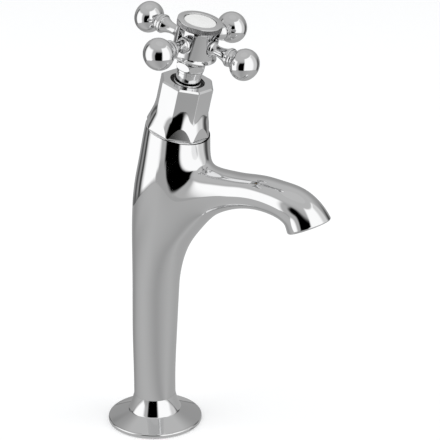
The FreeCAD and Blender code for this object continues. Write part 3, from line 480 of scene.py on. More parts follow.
def spout_line():
    stations = []
    for share, down, taller, spread in (
        (0.022, 1.000, 0.256, 0.00), (0.046, 0.816, 0.326, 0.00), (0.083, 0.637, 0.419, 0.00),
        (0.200, 0.343, 0.558, 0.00), (0.340, 0.132, 0.500, 0.00), (0.453, 0.066, 0.256, 0.42),
        (0.580, 0.025, 0.035, 0.92), (0.710, 0.000, 0.000, 1.00), (0.810, 0.009, 0.012, 1.00),
        (0.900, 0.039, 0.093, 0.83), (0.955, 0.093, 0.198, 0.17),
    ):
        high = 8.1 * (1 + taller)
        stations.append((*neck_spot(share, down), high, high + 1.6 * spread))
    stations.append((MOUTH[0], MOUTH[2], 10.8, 10.8))
    beyond = MOUTH + MOUTH_DOWN * 6
    stations.append((beyond[0], beyond[2], 11.2, 11.2))
    return SmoothLine(stations)


def distance_to(line, points):
    """How far points are outside a thick line, the way out, and where along the line they look."""
    def reach(where):
        spot = line(where)
        flat = spot[:, 2] / spot[:, 3]
        way = np.stack([points[:, 0] - spot[:, 0], points[:, 1] * flat, points[:, 2] - spot[:, 1]], 1)
        far = np.sqrt((way ** 2).sum(1)) + 1e-9
        return far - spot[:, 2], way, far, flat

    # a first look at even marks along the line, then closer and closer steps
    marks = np.linspace(0, line.length, 241)
    spots = line(marks)
    where = np.empty(len(points))
    for start in range(0, len(points), 8000):
        part = points[start:start + 8000]
        flat = spots[:, 2] / spots[:, 3]
        far = np.sqrt((part[:, :1] - spots[:, 0]) ** 2 + (part[:, 1:2] * flat) ** 2
                      + (part[:, 2:] - spots[:, 1]) ** 2) - spots[:, 2]
        where[start:start + 8000] = marks[far.argmin(1)]
    for shrink in (1.0, 0.3, 0.1, 0.05):
        width = line.length / 240 * shrink
        low, mid, high = (reach(where + width * side)[0] for side in (-1, 0, 1))
        curve = low - 2 * mid + high
        move = np.where(curve > 1e-12, 0.5 * (low - high) / np.maximum(curve, 1e-12), 0.0)
        where = np.clip(where + width * np.clip(move, -2, 2), 0, line.length)
    gap, way, far, flat = reach(where)
    out = way / far[:, None]
    out[:, 1] *= flat
    return gap, out, where


class CastingSkin:
    """The field of the casting's outside: below zero inside the metal."""

    def __init__(self):
        self.trunk, self.spout = trunk_line(), spout_line()

    def softness(self, points, trunk_at):
        """How wide the metal flows together: most on the flanks and in front, little behind and low down."""
        forward = points[:, 0] - self.trunk(trunk_at)[:, 0]
        return 2.5 + 12.5 * ease(forward, -9.0, 7.0) * ease(points[:, 2], 70.0, 110.0)

    def __call__(self, points):
        first, out_first, trunk_at = distance_to(self.trunk, points)
        second, out_second, _ = distance_to(self.spout, points)
        soft = self.softness(points, trunk_at)
        apart = np.abs(first - second)
        share = np.maximum(soft - apart, 0) / soft
        value = np.minimum(first, second) - share ** 3 * soft / 6
        other = share ** 2 / 2
        near_first = (first <= second)[:, None]
        slope = np.where(near_first, out_first, out_second) * (1 - other)[:, None]
        slope += np.where(near_first, out_second, out_first) * other[:, None]
        tiny = 0.05
        by_soft = -(share ** 3 + 3 * share ** 2 * apart / soft) / 6
        for axis in (0, 2):
            moved = points.copy()
            moved[:, axis] += tiny
            slope[:, axis] += by_soft * (self.softness(moved, trunk_at) - soft) / tiny
        return value, slope

    def settle(self, points, rounds):
        for _ in range(rounds):
            value, slope = self(points)
            points = points - slope * (value / (slope ** 2).sum(1))[:, None]
        return points


# ---- shells ------------------------------------------------------------------------------------------

class Shell:
    """Patches of a surface, each with its own true normals, kept as one piece."""

    def __init__(self):
        self.points, self.normals, self.faces, self.count = [], [], [], 0

    def add(self, points, normals, faces):
        points = np.asarray(points, float).reshape(-1, 3)
        normals = np.asarray(normals, float).reshape(-1, 3)
        normals = normals / np.maximum(np.linalg.norm(normals, axis=1), 1e-12)[:, None]
        for face in faces:
            corners = points[list(face)]
            facing = np.cross(corners[2] - corners[0], corners[-1] - corners[1])
            if facing @ normals[list(face)].sum(0) < 0:
                face = face[::-1]
            self.faces.append(tuple(int(corner) + self.count for corner in face))
        self.points.append(points)
        self.normals.append(normals)
        self.count += len(points)

    def grid(self, points, normals, closed=True):
        """A patch of rows by columns; closed joins each row's ends."""
        points = np.asarray(points)
        rows, columns = points.shape[:2]
        self.add(points, np.broadcast_to(normals, points.shape), grid_faces(rows, columns, closed))

    def piece(self, name, body, finish, slot, *stands_for):
        mesh = bpy.data.meshes.new(name)
        mesh.from_pydata((np.concatenate(self.points) * MM).tolist(), [], self.faces)
        mesh.polygons.foreach_set("use_smooth", [True] * len(mesh.polygons))
        mesh.normals_split_custom_set_from_vertices(np.concatenate(self.normals).tolist())
        mesh.materials.append(finish)
        made = put(name, mesh)
        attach(made, body)
        if stands_for:
            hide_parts(*stands_for)


def profile_runs(points, fine=0.35):
    """The straight and arched runs of a half section, walked with the metal on the left.
    A third number is the arc's radius up to that point: above zero it swells, below zero it hollows."""
    runs = []
    for start, end in zip(points, points[1:]):
        a, b = np.array(start[:2], float), np.array(end[:2], float)
        if np.linalg.norm(b - a) < 1e-9:
            continue
        if len(end) == 2:
            way = (b - a) / np.linalg.norm(b - a)
            runs.append((np.stack([a, b]), np.tile([way[1], -way[0]], (2, 1))))
            continue
        radius, chord = abs(end[2]), b - a
        span = np.linalg.norm(chord)
        left = np.array([-chord[1], chord[0]]) / span
        sink = math.sqrt(max(radius * radius - span * span / 4, 0.0))
        centre = (a + b) / 2 + left * sink * (1 if end[2] > 0 else -1)
        first = math.atan2(*(a - centre)[::-1])
        sweep = (math.atan2(*(b - centre)[::-1]) - first + math.pi) % (2 * math.pi) - math.pi
        steps = max(4, int(abs(sweep) / 0.14), int(abs(sweep) * radius / fine / 4))
        angles = first + sweep * np.linspace(0, 1, steps + 1)
        out = np.stack([np.cos(angles), np.sin(angles)], 1)
        runs.append((centre + radius * out, out * (1 if end[2] > 0 else -1)))
    return runs


class Axis:
    """Where a turned piece stands: its foot, its way up, and two ways across."""

    def __init__(self, foot, up, across):
        self.foot, self.up = np.array(foot, float), np.array(up, float)
        self.across = np.array(across, float)
        self.side = np.cross(self.up, self.across)

    def outward(self, turns):
        return np.cos(turns)[..., None] * self.across + np.sin(turns)[..., None] * self.side

    def ring(self, reach, height, turns):
        return (self.foot + np.asarray(height)[..., None] * self.up
                + np.asarray(reach)[..., None] * self.outward(turns))

    def way(self, out, rise, turns):
        return np.asarray(rise)[..., None] * self.up + np.asarray(out)[..., None] * self.outward(turns)


DECK = Axis((0, 0, 0), (0, 0, 1), (1, 0, 0))
HEAD = Axis(HEAD_TOP, HEAD_AXIS, HEAD_FRONT)


def turned(shell, axis, points, steps=96, fine=0.35):
    """Adds a half section turned about an axis."""
    turns = full_turn(steps)
    for spots, ways in profile_runs(points, fine):
        shell.grid(axis.ring(spots[:, :1], spots[:, 1:], turns), axis.way(ways[:, :1], ways[:, 1:], turns))


def rough_tubes(lines, rings=90, columns=40):
    """Closed tubes along the lines, merged into one rough skin."""
    points, faces = [], []
    for line in lines:
        base, stops = len(points), np.linspace(0, line.length, rings)
        for spot, way in zip(line(stops), line.headings(stops)):
            across = np.array([way[2], 0.0, -way[0]])
            for turn in full_turn(columns):
                points.append(np.array([spot[0], 0.0, spot[1]]) + across * spot[2] * math.cos(turn)
                              + np.array([0.0, spot[3] * math.sin(turn), 0.0]))
        faces += grid_faces(rings, columns, base=base)
        faces.append(tuple(range(base, base + columns))[::-1])
        faces.append(tuple(range(base + (rings - 1) * columns, base + rings * columns)))
    mesh = bpy.data.meshes.new("rough_casting")
    mesh.from_pydata([tuple(point) for point in points], [], faces)
    mesh.update()
    rough = put("rough_casting", mesh)
    remesh = rough.modifiers.new("skin", "REMESH")
    remesh.mode = "VOXEL"
    remesh.voxel_size = 1.0
    evaluated = rough.evaluated_get(bpy.context.evaluated_depsgraph_get())
    skin = bpy.data.meshes.new_from_object(evaluated)
    bpy.data.objects.remove(rough)
    bpy.data.meshes.remove(mesh)
    return skin


def relaxed(points, edges, field, rounds=4):
    """Evens the mesh out along the skin without leaving it."""
    count = len(points)
    degree = np.bincount(edges.ravel(), minlength=count)[:, None]
    for _ in range(rounds):
        total = np.zeros_like(points)
        np.add.at(total, edges[:, 0], points[edges[:, 1]])
        np.add.at(total, edges[:, 1], points[edges[:, 0]])
        points = field.settle(points + 0.6 * (total / degree - points), 1)
    return field.settle(points, 2)


def cut(mesh, spot, way, near):
    """Takes off what lies beyond a plane, within a reach of a spot on it."""
    work = bmesh.new()
    work.from_mesh(mesh)
    spot, way = Vector(spot), Vector(way)
    around = [face for face in work.faces if (face.calc_center_median() - spot).length < near]
    rim = list({edge for face in around for edge in face.edges}) + list({
        corner for face in around for corner in face.verts})
    bmesh.ops.bisect_plane(work, geom=around + rim, dist=1e-5, plane_co=spot, plane_no=way)
    gone = [face for face in work.faces if (face.calc_center_median() - spot).length < near
            and (face.calc_center_median() - spot).dot(way) > 0]
    bmesh.ops.delete(work, geom=gone, context="FACES")
    work.to_mesh(mesh)
    work.free()


def casting():
    field = CastingSkin()
    mesh = rough_tubes((field.trunk, field.spout))
    points = np.empty(len(mesh.vertices) * 3)
    mesh.vertices.foreach_get("co", points)
    edges = np.empty(len(mesh.edges) * 2, int)
    mesh.edges.foreach_get("vertices", edges)
    points = relaxed(field.settle(points.reshape(-1, 3), 4), edges.reshape(-1, 2), field)
    mesh.vertices.foreach_set("co", points.ravel())
    foot_joint, rim_drop, lip = 15.0, 0.4, 1.2
    cut(mesh, (0, 0, foot_joint), (0, 0, -1), 30.0)
    cut(mesh, HEAD_TOP - HEAD_AXIS * rim_drop, HEAD_AXIS, 26.0)
    cut(mesh, MOUTH - MOUTH_DOWN * lip, MOUTH_DOWN, 24.0)
    points = np.array([vertex.co[:] for vertex in mesh.vertices])
    shell = Shell()
    shell.add(points, field(points)[1], [tuple(face.vertices) for face in mesh.polygons])
    # foot: the underside, the edge, the sloping top and the hollow sweep up to the column
    turned(shell, DECK, [
        (8.5, 1.2), (19.0, 1.2), (19.0, 0.0), (23.4, 0.0), (23.99, 0.6, 0.6), (23.99, 1.5),
        (23.1, 2.35, 0.9), (13.89, 6.26), (13.2, 6.95, -1.3), (10.6, 14.6, -58.0), (10.6, foot_joint),
    ], 128)
    # head: a broken edge, the top face and the threaded socket
    turned(shell, HEAD, [(15.5, -rim_drop), (15.1, 0.0, rim_drop), (8.4, 0.0), (8.4, -14.0)], 128)
    casting_mouth(shell, field, lip)
    shell.piece("casting", "tap", CHROME_CASTING, "chrome", "tap_body")


def casting_mouth(shell, field, lip):
    """The outlet's rounded lip, its flat end and the way in."""
    end = Axis(MOUTH, MOUTH_DOWN, np.cross(HEAD_SIDE, MOUTH_DOWN))
    turns = full_turn(120)
    reach = np.full(120, 10.8)
    for _ in range(6):
        value, slope = field(end.ring(reach, -lip, turns))
        reach = reach - value / np.maximum((slope * end.way(1.0, 0.0, turns)).sum(1), 0.2)
    first_way = field(end.ring(reach, -lip, turns))[1]
    first_way /= np.linalg.norm(first_way, axis=1)[:, None]
    rows, ways = [], []
    for step in np.linspace(0, math.pi / 2, 9):
        rows.append(end.ring(reach - lip * (1 - math.cos(step)), -lip * (1 - math.sin(step)), turns))
        ways.append(first_way * math.cos(step) + MOUTH_DOWN * math.sin(step))
    shell.grid(rows, ways)
    inner, easing = 9.0, 0.4
    shell.grid([rows[-1], end.ring(inner + easing, 0.0, turns)], MOUTH_DOWN)
    rows, ways = [], []
    for step in np.linspace(0, math.pi / 2, 5):
        rows.append(end.ring(inner + easing * (1 - math.sin(step)), -easing * (1 - math.cos(step)), turns))
        ways.append(end.way(-math.sin(step), math.cos(step), turns))
    shell.grid(rows, ways)
    # the waterway follows the neck inward
    stations = [(*neck_spot(share, down), high, wide) for share, down, high, wide in (
        (0.62, 0.018, 5.6, 6.8), (0.71, 0.0, 5.6, 6.8), (0.81, 0.009, 6.1, 7.1), (0.90, 0.039, 7.3, 7.9),
        (0.955, 0.093, 8.3, 8.6))]
    inside = MOUTH - MOUTH_DOWN * easing
    line = SmoothLine(stations + [(inside[0], inside[2], inner, inner)])
    stops = np.linspace(line.length, 0, 36)
    headings = line.headings(stops)
    headings[0] = MOUTH_DOWN
    upward, aside = np.cos(turns)[:, None], np.sin(turns)[:, None]
    rows, ways = [], []
    for spot, way in zip(line(stops), headings):
        over = np.cross(HEAD_SIDE, way)
        rows.append(np.array([spot[0], 0.0, spot[1]]) + upward * over * spot[2] + aside * HEAD_SIDE * spot[3])
        ways.append(-(upward * over * spot[3] + aside * HEAD_SIDE * spot[2]))
    shell.grid(rows, ways)


casting()


# ---- cover, nut and handle ---------------------------------------------------------------------------
# Heights are above the casting's top face, along the head's axis.

COVER_TOP, COVER_APOTHEM, COVER_CORNER = 25.8, 12.25, 13.26
COVER_HOLE, COVER_INSIDE, BARREL_TOP = 8.3, 11.2, 24.0
FACE_LEAN = math.radians(8.0)
EIGHTH = math.radians(22.5)
GLAND_SEAT, GLAND_NUT_TOP = 30.8, 37.8
HUB_BASE, HUB_HEIGHT = 38.8, 15.9
HUB_TOP = HUB_BASE + HUB_HEIGHT
RING_TOP = HUB_TOP + 2.6
GASKET = 1.2


def wrapped(shell, surface, one, two, outward, closed=True):
    """Adds a surface of two numbers, facing the way that its change over them gives."""
    tiny = 1e-4
    by_one = surface(one + tiny, two) - surface(one - tiny, two)
    by_two = surface(one, two + tiny) - surface(one, two - tiny)
    facing = np.cross(by_one, by_two)
    facing *= np.sign((facing * outward).sum(-1))[..., None] + 1e-9
    shell.grid(surface(one, two), facing, closed)


def eight_flats(turn, apothem, corner_round=0.7):
    """How far a rounded-off octagon reaches at an angle from a flat's middle."""
    middle = (apothem - corner_round) / math.cos(EIGHTH)
    off = EIGHTH - np.abs(turn)
    limit = np.arctan2(corner_round * math.sin(EIGHTH), middle + corner_round * math.cos(EIGHTH))
    rounded = middle * np.cos(off) + np.sqrt(np.maximum(corner_round ** 2 - (middle * np.sin(off)) ** 2, 0.0))
    return np.where(off < limit, rounded, apothem / np.cos(turn))


def cover_flare(turn, height):
    """Eight flats that spread downward into a round skirt."""
    straight, foot = 18.8, 16.1
    drop = np.clip(straight - height, 0.0, None)
    curved = straight * 0.688
    slope = (foot - COVER_APOTHEM) / (straight - curved / 2)
    reach = COVER_APOTHEM + slope * (
        np.minimum(drop, curved) ** 2 / (2 * curved) + np.maximum(drop - curved, 0.0))
    corner = COVER_CORNER + (reach - COVER_APOTHEM) * 0.3
    sharp = np.maximum(corner / reach - 1, 0.0) / (1 / math.cos(EIGHTH) - 1)
    sharp = sharp * (1 - ease(drop / straight, 0.16, 0.75))
    return reach * (1 + sharp * (eight_flats(turn, COVER_APOTHEM) / COVER_APOTHEM - 1))


def cover_face(turn, height):
    """The flat faces that cut the skirt back, leaning in a little."""
    return (15.0 - math.tan(FACE_LEAN) * height) / np.cos(turn)


def face_arch(rim):
    """The angles that an eighth of the cover is drawn at, how high its face reaches at each, and its tips."""
    spots = np.linspace(-EIGHTH, EIGHTH, 181)
    low, high = np.full(181, -3.0), np.full(181, 14.0)
    for _ in range(40):
        middle = (low + high) / 2
        outside = cover_flare(spots, middle) > cover_face(spots, middle)
        low, high = np.where(outside, middle, low), np.where(outside, high, middle)
    tip, corner = np.abs(spots[low > rim]).max(), EIGHTH - 0.05
    turn = np.concatenate([np.linspace(-EIGHTH, -corner, 8)[:-1], np.linspace(-corner, -tip, 6)[:-1],
                           -tip * np.cos(np.linspace(0, math.pi, 41)),
                           np.linspace(tip, corner, 6)[1:], np.linspace(corner, EIGHTH, 8)[1:]])
    return turn, np.maximum(np.interp(turn, spots, low), rim), tip


def bonnet_cover():
    """The octagonal cover: eight alike flats and faces round a plain hole."""
    shell = Shell()
    bevel, rim, rim_in = 0.8, 1.2, 0.65
    shoulder = COVER_TOP - bevel
    turn, arch, tip = face_arch(rim)
    edge, inner = eight_flats(turn, COVER_APOTHEM), eight_flats(turn, COVER_APOTHEM - bevel)
    # the bevel's way leans over from flat to flat at the corners
    tilt = np.where(np.abs(turn) > EIGHTH - 0.05, turn / np.abs(turn + 1e-9) * EIGHTH * ease(
        np.abs(turn), EIGHTH - 0.05, EIGHTH), 0.0)
    lens = np.abs(turn) <= tip + 1e-9
    for k in range(8):
        facing = math.radians(-4.0 + 45 * k)

        def placed(reach, height, angle):
            return HEAD.ring(reach, height, angle + facing)

        def flare(angle, height):
            return placed(cover_flare(angle, height), height, angle)

        def rim_edge(angle, height):
            reach = np.minimum(cover_flare(angle, height), cover_face(angle, height))
            under = np.clip((rim - height) / rim, 0, 1)
            return placed(reach - rim_in * (1 - np.sqrt(np.maximum(1 - under ** 2, 0))), height, angle)

        outward = HEAD.way(1.0, 0.3, turn + facing)
        heights = shoulder + (arch - shoulder) * np.linspace(0, 1, 45)[:, None]
        wrapped(shell, flare, turn, heights, outward, closed=False)
        heights = arch[lens] + (rim - arch[lens]) * np.linspace(0, 1, 6)[:, None]
        shell.grid(placed(cover_face(turn[lens], heights), heights, turn[lens]),
                   HEAD.way(math.cos(FACE_LEAN), math.sin(FACE_LEAN), facing), closed=False)
        heights = rim * (1 - np.sin(np.linspace(0, math.pi / 2 * 0.97, 7)))[:, None] + 0 * turn
        wrapped(shell, rim_edge, turn, heights, outward, closed=False)
        # bevel, top face and the underside of the rim
        shell.grid([placed(edge, shoulder, turn), placed(inner, COVER_TOP, turn)],
                   HEAD.way(0.72, 0.69, tilt + facing), closed=False)
        shell.grid([placed(inner, COVER_TOP, turn), placed(COVER_HOLE + 0.2, COVER_TOP, turn)],
                   HEAD_AXIS, closed=False)
        shell.grid([rim_edge(turn, 0.0), placed(COVER_INSIDE, 0.0, turn)], -HEAD_AXIS, closed=False)
    turned(shell, HEAD, [(COVER_HOLE + 0.2, COVER_TOP), (COVER_HOLE, COVER_TOP - 0.2, 0.2),
                         (COVER_HOLE, BARREL_TOP), (COVER_INSIDE, BARREL_TOP), (COVER_INSIDE, 0.0)])
    shell.piece("octagonal_cover", "tap", CHROME_FACETED, "chrome", "bonnet_cover")


def gland_nut():
    """A barrel-shaped nut with six flats: each flat is an eye between two curved edges."""
    shell = Shell()
    middle, apothem, swell, curve, half_height = 34.3, 6.6, 7.68, 0.30, 2.05
    half = math.radians(30)
    turn = np.linspace(-half, half, 25)
    eye = np.sqrt((swell - apothem / np.cos(turn)) / curve)
    for k in range(6):
        facing = math.radians(60 * k + 30)

        def barrel(angle, height):
            return HEAD.ring(swell - curve * (height - middle) ** 2, height, angle + facing)

        heights = middle + eye * np.linspace(-1, 1, 7)[:, None]
        shell.grid(HEAD.ring(apothem / np.cos(turn), heights, turn + facing), HEAD.way(1.0, 0.0, facing),
                   closed=False)
        for side in (1, -1):
            heights = middle + side * (eye + (half_height - eye) * np.linspace(0, 1, 7)[:, None])
            wrapped(shell, barrel, turn, heights, HEAD.way(1.0, 0.0, turn + facing), closed=False)
    end = swell - curve * half_height ** 2
    turned(shell, HEAD, [(5.4, GLAND_SEAT), (6.1, GLAND_SEAT), (6.3, GLAND_SEAT + 0.2, 0.2),
                         (6.3, middle - 2.25), (end, middle - half_height)])
    turned(shell, HEAD, [(end, middle + half_height), (6.35, middle + 2.2), (6.35, GLAND_NUT_TOP - 0.5),
                         (5.7, GLAND_NUT_TOP, 0.25), (3.88, GLAND_NUT_TOP), (3.88, 26.6),
                         (4.9, 26.6), (4.9, GLAND_SEAT)])
    shell.piece("barrel_nut", "tap", CHROME_TURNED, "chrome", "gland_nut")


def neck_collar():
    """The rolled collar where the neck comes out of the cover."""
    shell = Shell()
    turned(shell, HEAD, [(6.02, BARREL_TOP), (6.4, BARREL_TOP), (6.4, 25.0), (6.2, 25.3, 0.3),
                         (6.02, 25.6, -0.4)])
    shell.piece("neck_collar", "tap", CHROME_TURNED, "chrome")


# The bell's wall above HUB_BASE, and the arched niches that the arms leave it through.
HUB_WALL = [(8.4, 0.0), (10.55, 0.0), (11.2, 0.65, 0.65), (10.35, 2.0, -2.6), (10.5, 13.9),
            (10.6, 14.4, -1.0), (10.6, 15.2), (9.9, HUB_HEIGHT, 0.7)]
NICHE_BACK, NICHE_HALF, NICHE_FOOT, NICHE_EDGE = 6.9, 4.15, 3.85, 0.35
NICHE_CENTRE = NICHE_FOOT + NICHE_HALF


def bell_section():
    """The bell's half section, cut fine: how far out, how high, and the way it faces."""
    parts = []
    for spots, ways in profile_runs(HUB_WALL, 0.1):
        both = np.hstack([spots, ways])
        for first, second in zip(both, both[1:]):
            count = max(2, int(np.linalg.norm((second - first)[:2]) / 0.12))
            parts.append(first + (second - first) * np.linspace(0, 1, count)[:, None])
    return np.concatenate(parts).T


def niche(shell, turn, path, inward, wall_at):
    """One niche: an eased edge, its wall and its flat back."""
    front = np.cos(turn) * HEAD_FRONT + np.sin(turn) * HEAD_SIDE
    side = -np.sin(turn) * HEAD_FRONT + np.cos(turn) * HEAD_SIDE

    def spot(depth, across, height):
        return (HEAD_TOP + (HUB_BASE + height)[:, None] * HEAD_AXIS + depth[:, None] * front
                + across[:, None] * side)

    across, height = path[:, 0], path[:, 1]
    wide = across - NICHE_EDGE * inward[:, 0]
    tall = np.clip(height - NICHE_EDGE * inward[:, 1], 0, HUB_HEIGHT)
    outer, wall_out, wall_rise = wall_at(tall)
    depth = np.sqrt(np.maximum(outer ** 2 - wide ** 2, 0))
    on_wall = (wall_out[:, None] * (depth / outer)[:, None] * front
               + wall_out[:, None] * (wide / outer)[:, None] * side + wall_rise[:, None] * HEAD_AXIS)
    inner_wall = inward[:, :1] * side + inward[:, 1:] * HEAD_AXIS
    corner = np.sqrt(np.maximum(wall_at(height)[0] ** 2 - across ** 2, 0))
    first, bend = spot(depth, wide, tall), spot(corner, across, height)
    last = spot(corner - NICHE_EDGE, across, height)
    rows, ways = [], []
    for step in np.linspace(0, 1, 6):
        rows.append(first * (1 - step) ** 2 + bend * 2 * step * (1 - step) + last * step ** 2)
        ways.append(on_wall * (1 - step) + inner_wall * step)
    shell.grid(rows, ways, closed=False)
    flat = np.full(len(path), NICHE_BACK)
    back = spot(flat, across, height)
    shell.grid([last, back], inner_wall, closed=False)
    shell.grid([back, spot(flat, across * 0, np.maximum(height, NICHE_CENTRE))], front, closed=False)


def handle_bell():
    """The hub: a bell wall with an arched niche round the root of each arm."""
    shell = Shell()
    quarters = np.arange(4) * math.pi / 2
    reach, level, out, rise = bell_section()
    wide = NICHE_HALF + NICHE_EDGE
    opening = np.sqrt(wide ** 2 - np.clip(NICHE_CENTRE - level, 0.0, wide) ** 2)
    start = np.arcsin(np.clip(opening / reach, 0, 0.99))[:, None]
    angles = start + (math.pi / 2 - 2 * start) * np.linspace(0, 1, 29)
    for turn in quarters:
        shell.grid(HEAD.ring(reach[:, None], HUB_BASE + level[:, None], angles + turn),
                   HEAD.way(out[:, None], rise[:, None], angles + turn), closed=False)
    # a niche's outline, from its top down one side, round the foot and up the other
    path = [(NICHE_HALF, HUB_HEIGHT - step) for step in np.linspace(0, HUB_HEIGHT - NICHE_CENTRE, 40)[:-1]]
    path += [(NICHE_HALF * math.cos(a), NICHE_CENTRE - NICHE_HALF * math.sin(a))
             for a in np.linspace(0, math.pi, 49)]
    path += [(-NICHE_HALF, high) for high in np.linspace(NICHE_CENTRE, HUB_HEIGHT, 40)[1:]]
    path = np.array(path)
    inward = np.where(path[:, 1:] > NICHE_CENTRE, np.stack([-np.sign(path[:, 0]), 0 * path[:, 0]], 1),
                      np.stack([-path[:, 0], NICHE_CENTRE - path[:, 1]], 1) / NICHE_HALF)
    order = np.argsort(level, kind="stable")
    keep = order[level[order] > 0.9]

    def wall_at(height):
        return [np.interp(height, level[keep], part[keep]) for part in (reach, out, rise)]

    for turn in quarters:
        niche(shell, turn, path, inward, wall_at)
    # the recess below, the top face between the niches, and the bore under the ring's boss
    turned(shell, HEAD, [(3.9, HUB_BASE + 2.4), (8.4, HUB_BASE + 2.4), (8.4, HUB_BASE)])
    turns, top = full_turn(240), 9.7
    away = np.abs((turns + math.pi / 4) % (math.pi / 2) - math.pi / 4)
    edge = np.where(np.sin(away) * top < NICHE_HALF, np.minimum(NICHE_BACK / np.cos(away), top), top)
    shell.grid([HEAD.ring(edge, HUB_TOP, turns), HEAD.ring(6.4, HUB_TOP, turns)], HEAD_AXIS)
    turned(shell, HEAD, [(6.4, HUB_TOP), (6.4, HUB_TOP - 1.5), (4.7, HUB_TOP - 1.5), (4.7, HUB_TOP - 4.7)])
    shell.piece("handle_bell", "handle", CHROME_TURNED, "chrome", "handle_hub")


def index_ring():
    """The cap ring: a sloping face, a rolled edge and a finely fluted side."""
    shell = Shell()
    flutes, deep, side_reach = 84, 0.16, 10.76

    def side(angle, level):
        flute = deep * ease(level, -0.2, 0.15) * (1 - ease(level, 1.7, 2.05))
        reach = side_reach - 0.1 * (1 - ease(level, -0.5, -0.3))
        return HEAD.ring(reach - flute * (0.5 + 0.5 * np.cos(flutes * angle)), HUB_TOP + level, angle)

    turns = full_turn(flutes * 8)
    levels = np.array([-0.5, -0.3, -0.1, 0.15, 0.6, 1.1, 1.7, 1.95, 2.15])[:, None]
    wrapped(shell, side, turns, levels, HEAD.way(1.0, 0.0, turns))
    shell.piece("fluted_edge", "handle", CHROME_FLUTED, "chrome", "index_ring")
    shell = Shell()
    turned(shell, HEAD, [(side_reach, HUB_TOP + 2.15), (10.46, HUB_TOP + 2.42, 0.3), (8.3, RING_TOP),
                         (7.85, RING_TOP - 0.2, 0.5), (7.85, RING_TOP - 1.5), (5.0, RING_TOP - 1.5),
                         (5.0, HUB_TOP - 1.4)], 128)
    turned(shell, HEAD, [(5.0, HUB_TOP - 1.4), (6.3, HUB_TOP - 1.4), (6.3, HUB_TOP), (10.6, HUB_TOP),
                         (10.66, HUB_TOP - 0.5)])
    shell.piece("cap_ring", "handle", CHROME_TURNED, "chrome", "index_ring")


def bare_disc():
    """The enamelled disc in the ring, slightly domed and left bare."""
    shell = Shell()
    turned(shell, HEAD, [(0.02, RING_TOP - 1.5), (7.6, RING_TOP - 1.5), (7.6, RING_TOP - 0.75),
                         (7.35, RING_TOP - 0.5, 0.25), (0.02, RING_TOP - 0.3, 122.0)])
    shell.piece("bare_disc", "handle", ENAMEL, "enamel", "index_disc")


def handle_arm(name, degrees):
    """A turned arm: a bead in its niche, a slim waist, a flare and two rings before the ball."""
    turn = math.radians(degrees)
    way = math.cos(turn) * HEAD_FRONT + math.sin(turn) * HEAD_SIDE
    arm = Axis(HEAD_TOP + HEAD_AXIS * (HUB_BASE + NICHE_CENTRE), way, HEAD_AXIS)
    shell = Shell()
    turned(shell, arm, [
        (2.2, 4.9), (2.2, 8.0), (3.2, 8.05), (3.72, 9.2, 1.2), (3.0, 10.9, 1.9), (2.5, 13.6, -5.0),
        (3.9, 18.7, -12.0), (4.05, 18.9, 0.2), (4.05, 19.15), (3.8, 19.3), (3.8, 19.5), (4.35, 19.5),
        (4.6, 19.75, 0.25), (4.6, 20.45), (4.3, 20.75, 0.3), (3.85, 20.8), (3.85, 21.15), (4.15, 21.2),
        (4.3, 21.4, 0.2), (4.3, 21.9), (4.1, 22.1, 0.2), (3.7, 22.15), (3.7, 22.7), (1.8, 22.7), (1.8, 26.3),
    ], 64, 0.25)
    shell.piece("turned_" + name, "handle", CHROME_TURNED, "chrome", name)


def threaded_tail():
    """The tail with its pipe thread, parted by a groove."""
    shell = Shell()
    length, outer, pitch, deep, bore, socket = 50.0, 10.48, 1.814, 1.05, 6.2, 8.4
    groove_low = 23.0 - length
    groove_high = groove_low + 1.6
    columns = full_turn(72)

    def flank(angle, height):
        turn = (height / pitch - angle / (2 * math.pi)) % 1.0
        bite = ease(2 * np.abs(turn - 0.5), 0.08, 0.92)
        full = ease(height, -length, -length + 1.6) * (1 - ease(height, GASKET - 3.4, GASKET - 2.0))
        return DECK.ring(outer - deep * bite * full, height, angle)

    for low, high in ((-length + 0.6, groove_low), (groove_high, GASKET)):
        heights = np.linspace(low, high, int((high - low) / pitch * 10))[:, None]
        wrapped(shell, flank, columns, heights, DECK.way(1.0, 0.0, columns))
    core, spigot = outer - 1.15, GASKET + 13.0
    turned(shell, DECK, [(outer, groove_low), (core, groove_low), (core, groove_high),
                         (outer, groove_high)], 72)
    turned(shell, DECK, [(bore, -length), (outer - 0.6, -length), (outer, -length + 0.6)], 72)
    turned(shell, DECK, [(outer, GASKET), (socket, GASKET), (socket, spigot), (bore, spigot),
                         (bore, -length)], 72)
    shell.piece("threaded_tail", "tap", BRASS_TAIL, "brass", "inlet_tail")


bonnet_cover()
gland_nut()
neck_collar()
handle_bell()
index_ring()
bare_disc()
for name, degrees in ARMS.items():
    handle_arm(name, degrees)
threaded_tail()


# ---- studio ---------------------------------------------------------------------------------------
# In metres. Azimuths on the tent are from the camera's, to its right. Only mirrors see the tent, so
# that the chrome has something to show; the lamps and the surround light everything else.

CAMERA_AZIMUTH, CAMERA_ELEVATION = 36.0, 21.36
CAMERA_RIGHT, CAMERA_HEIGHT, CAMERA_DISTANCE = 0.03345, 0.10949, 0.91315
TENT_RADIUS, TENT_HEIGHT, TENT_FLOOR = 0.35, 1.05, 0.0004
TENT_CENTRE = (0.03, 0.0)
LAMP_DISTANCE = 1.6


def smooth(value, low, high):
    """The soft step of ease for one number, which is quicker here."""
    share = min(max((value - low) / (high - low), 0.0), 1.0)
    return share * share * (3 - 2 * share)


def patch(azimuth, height, left, right, top, edge, fade):
    """How much of a soft-edged panel, hung down to the table, covers a spot of the tent's wall."""
    wide = smooth(azimuth, left - edge, left + edge) * (1 - smooth(azimuth, right - edge, right + edge))
    return wide * (1 - smooth(height, top - fade, top + fade))


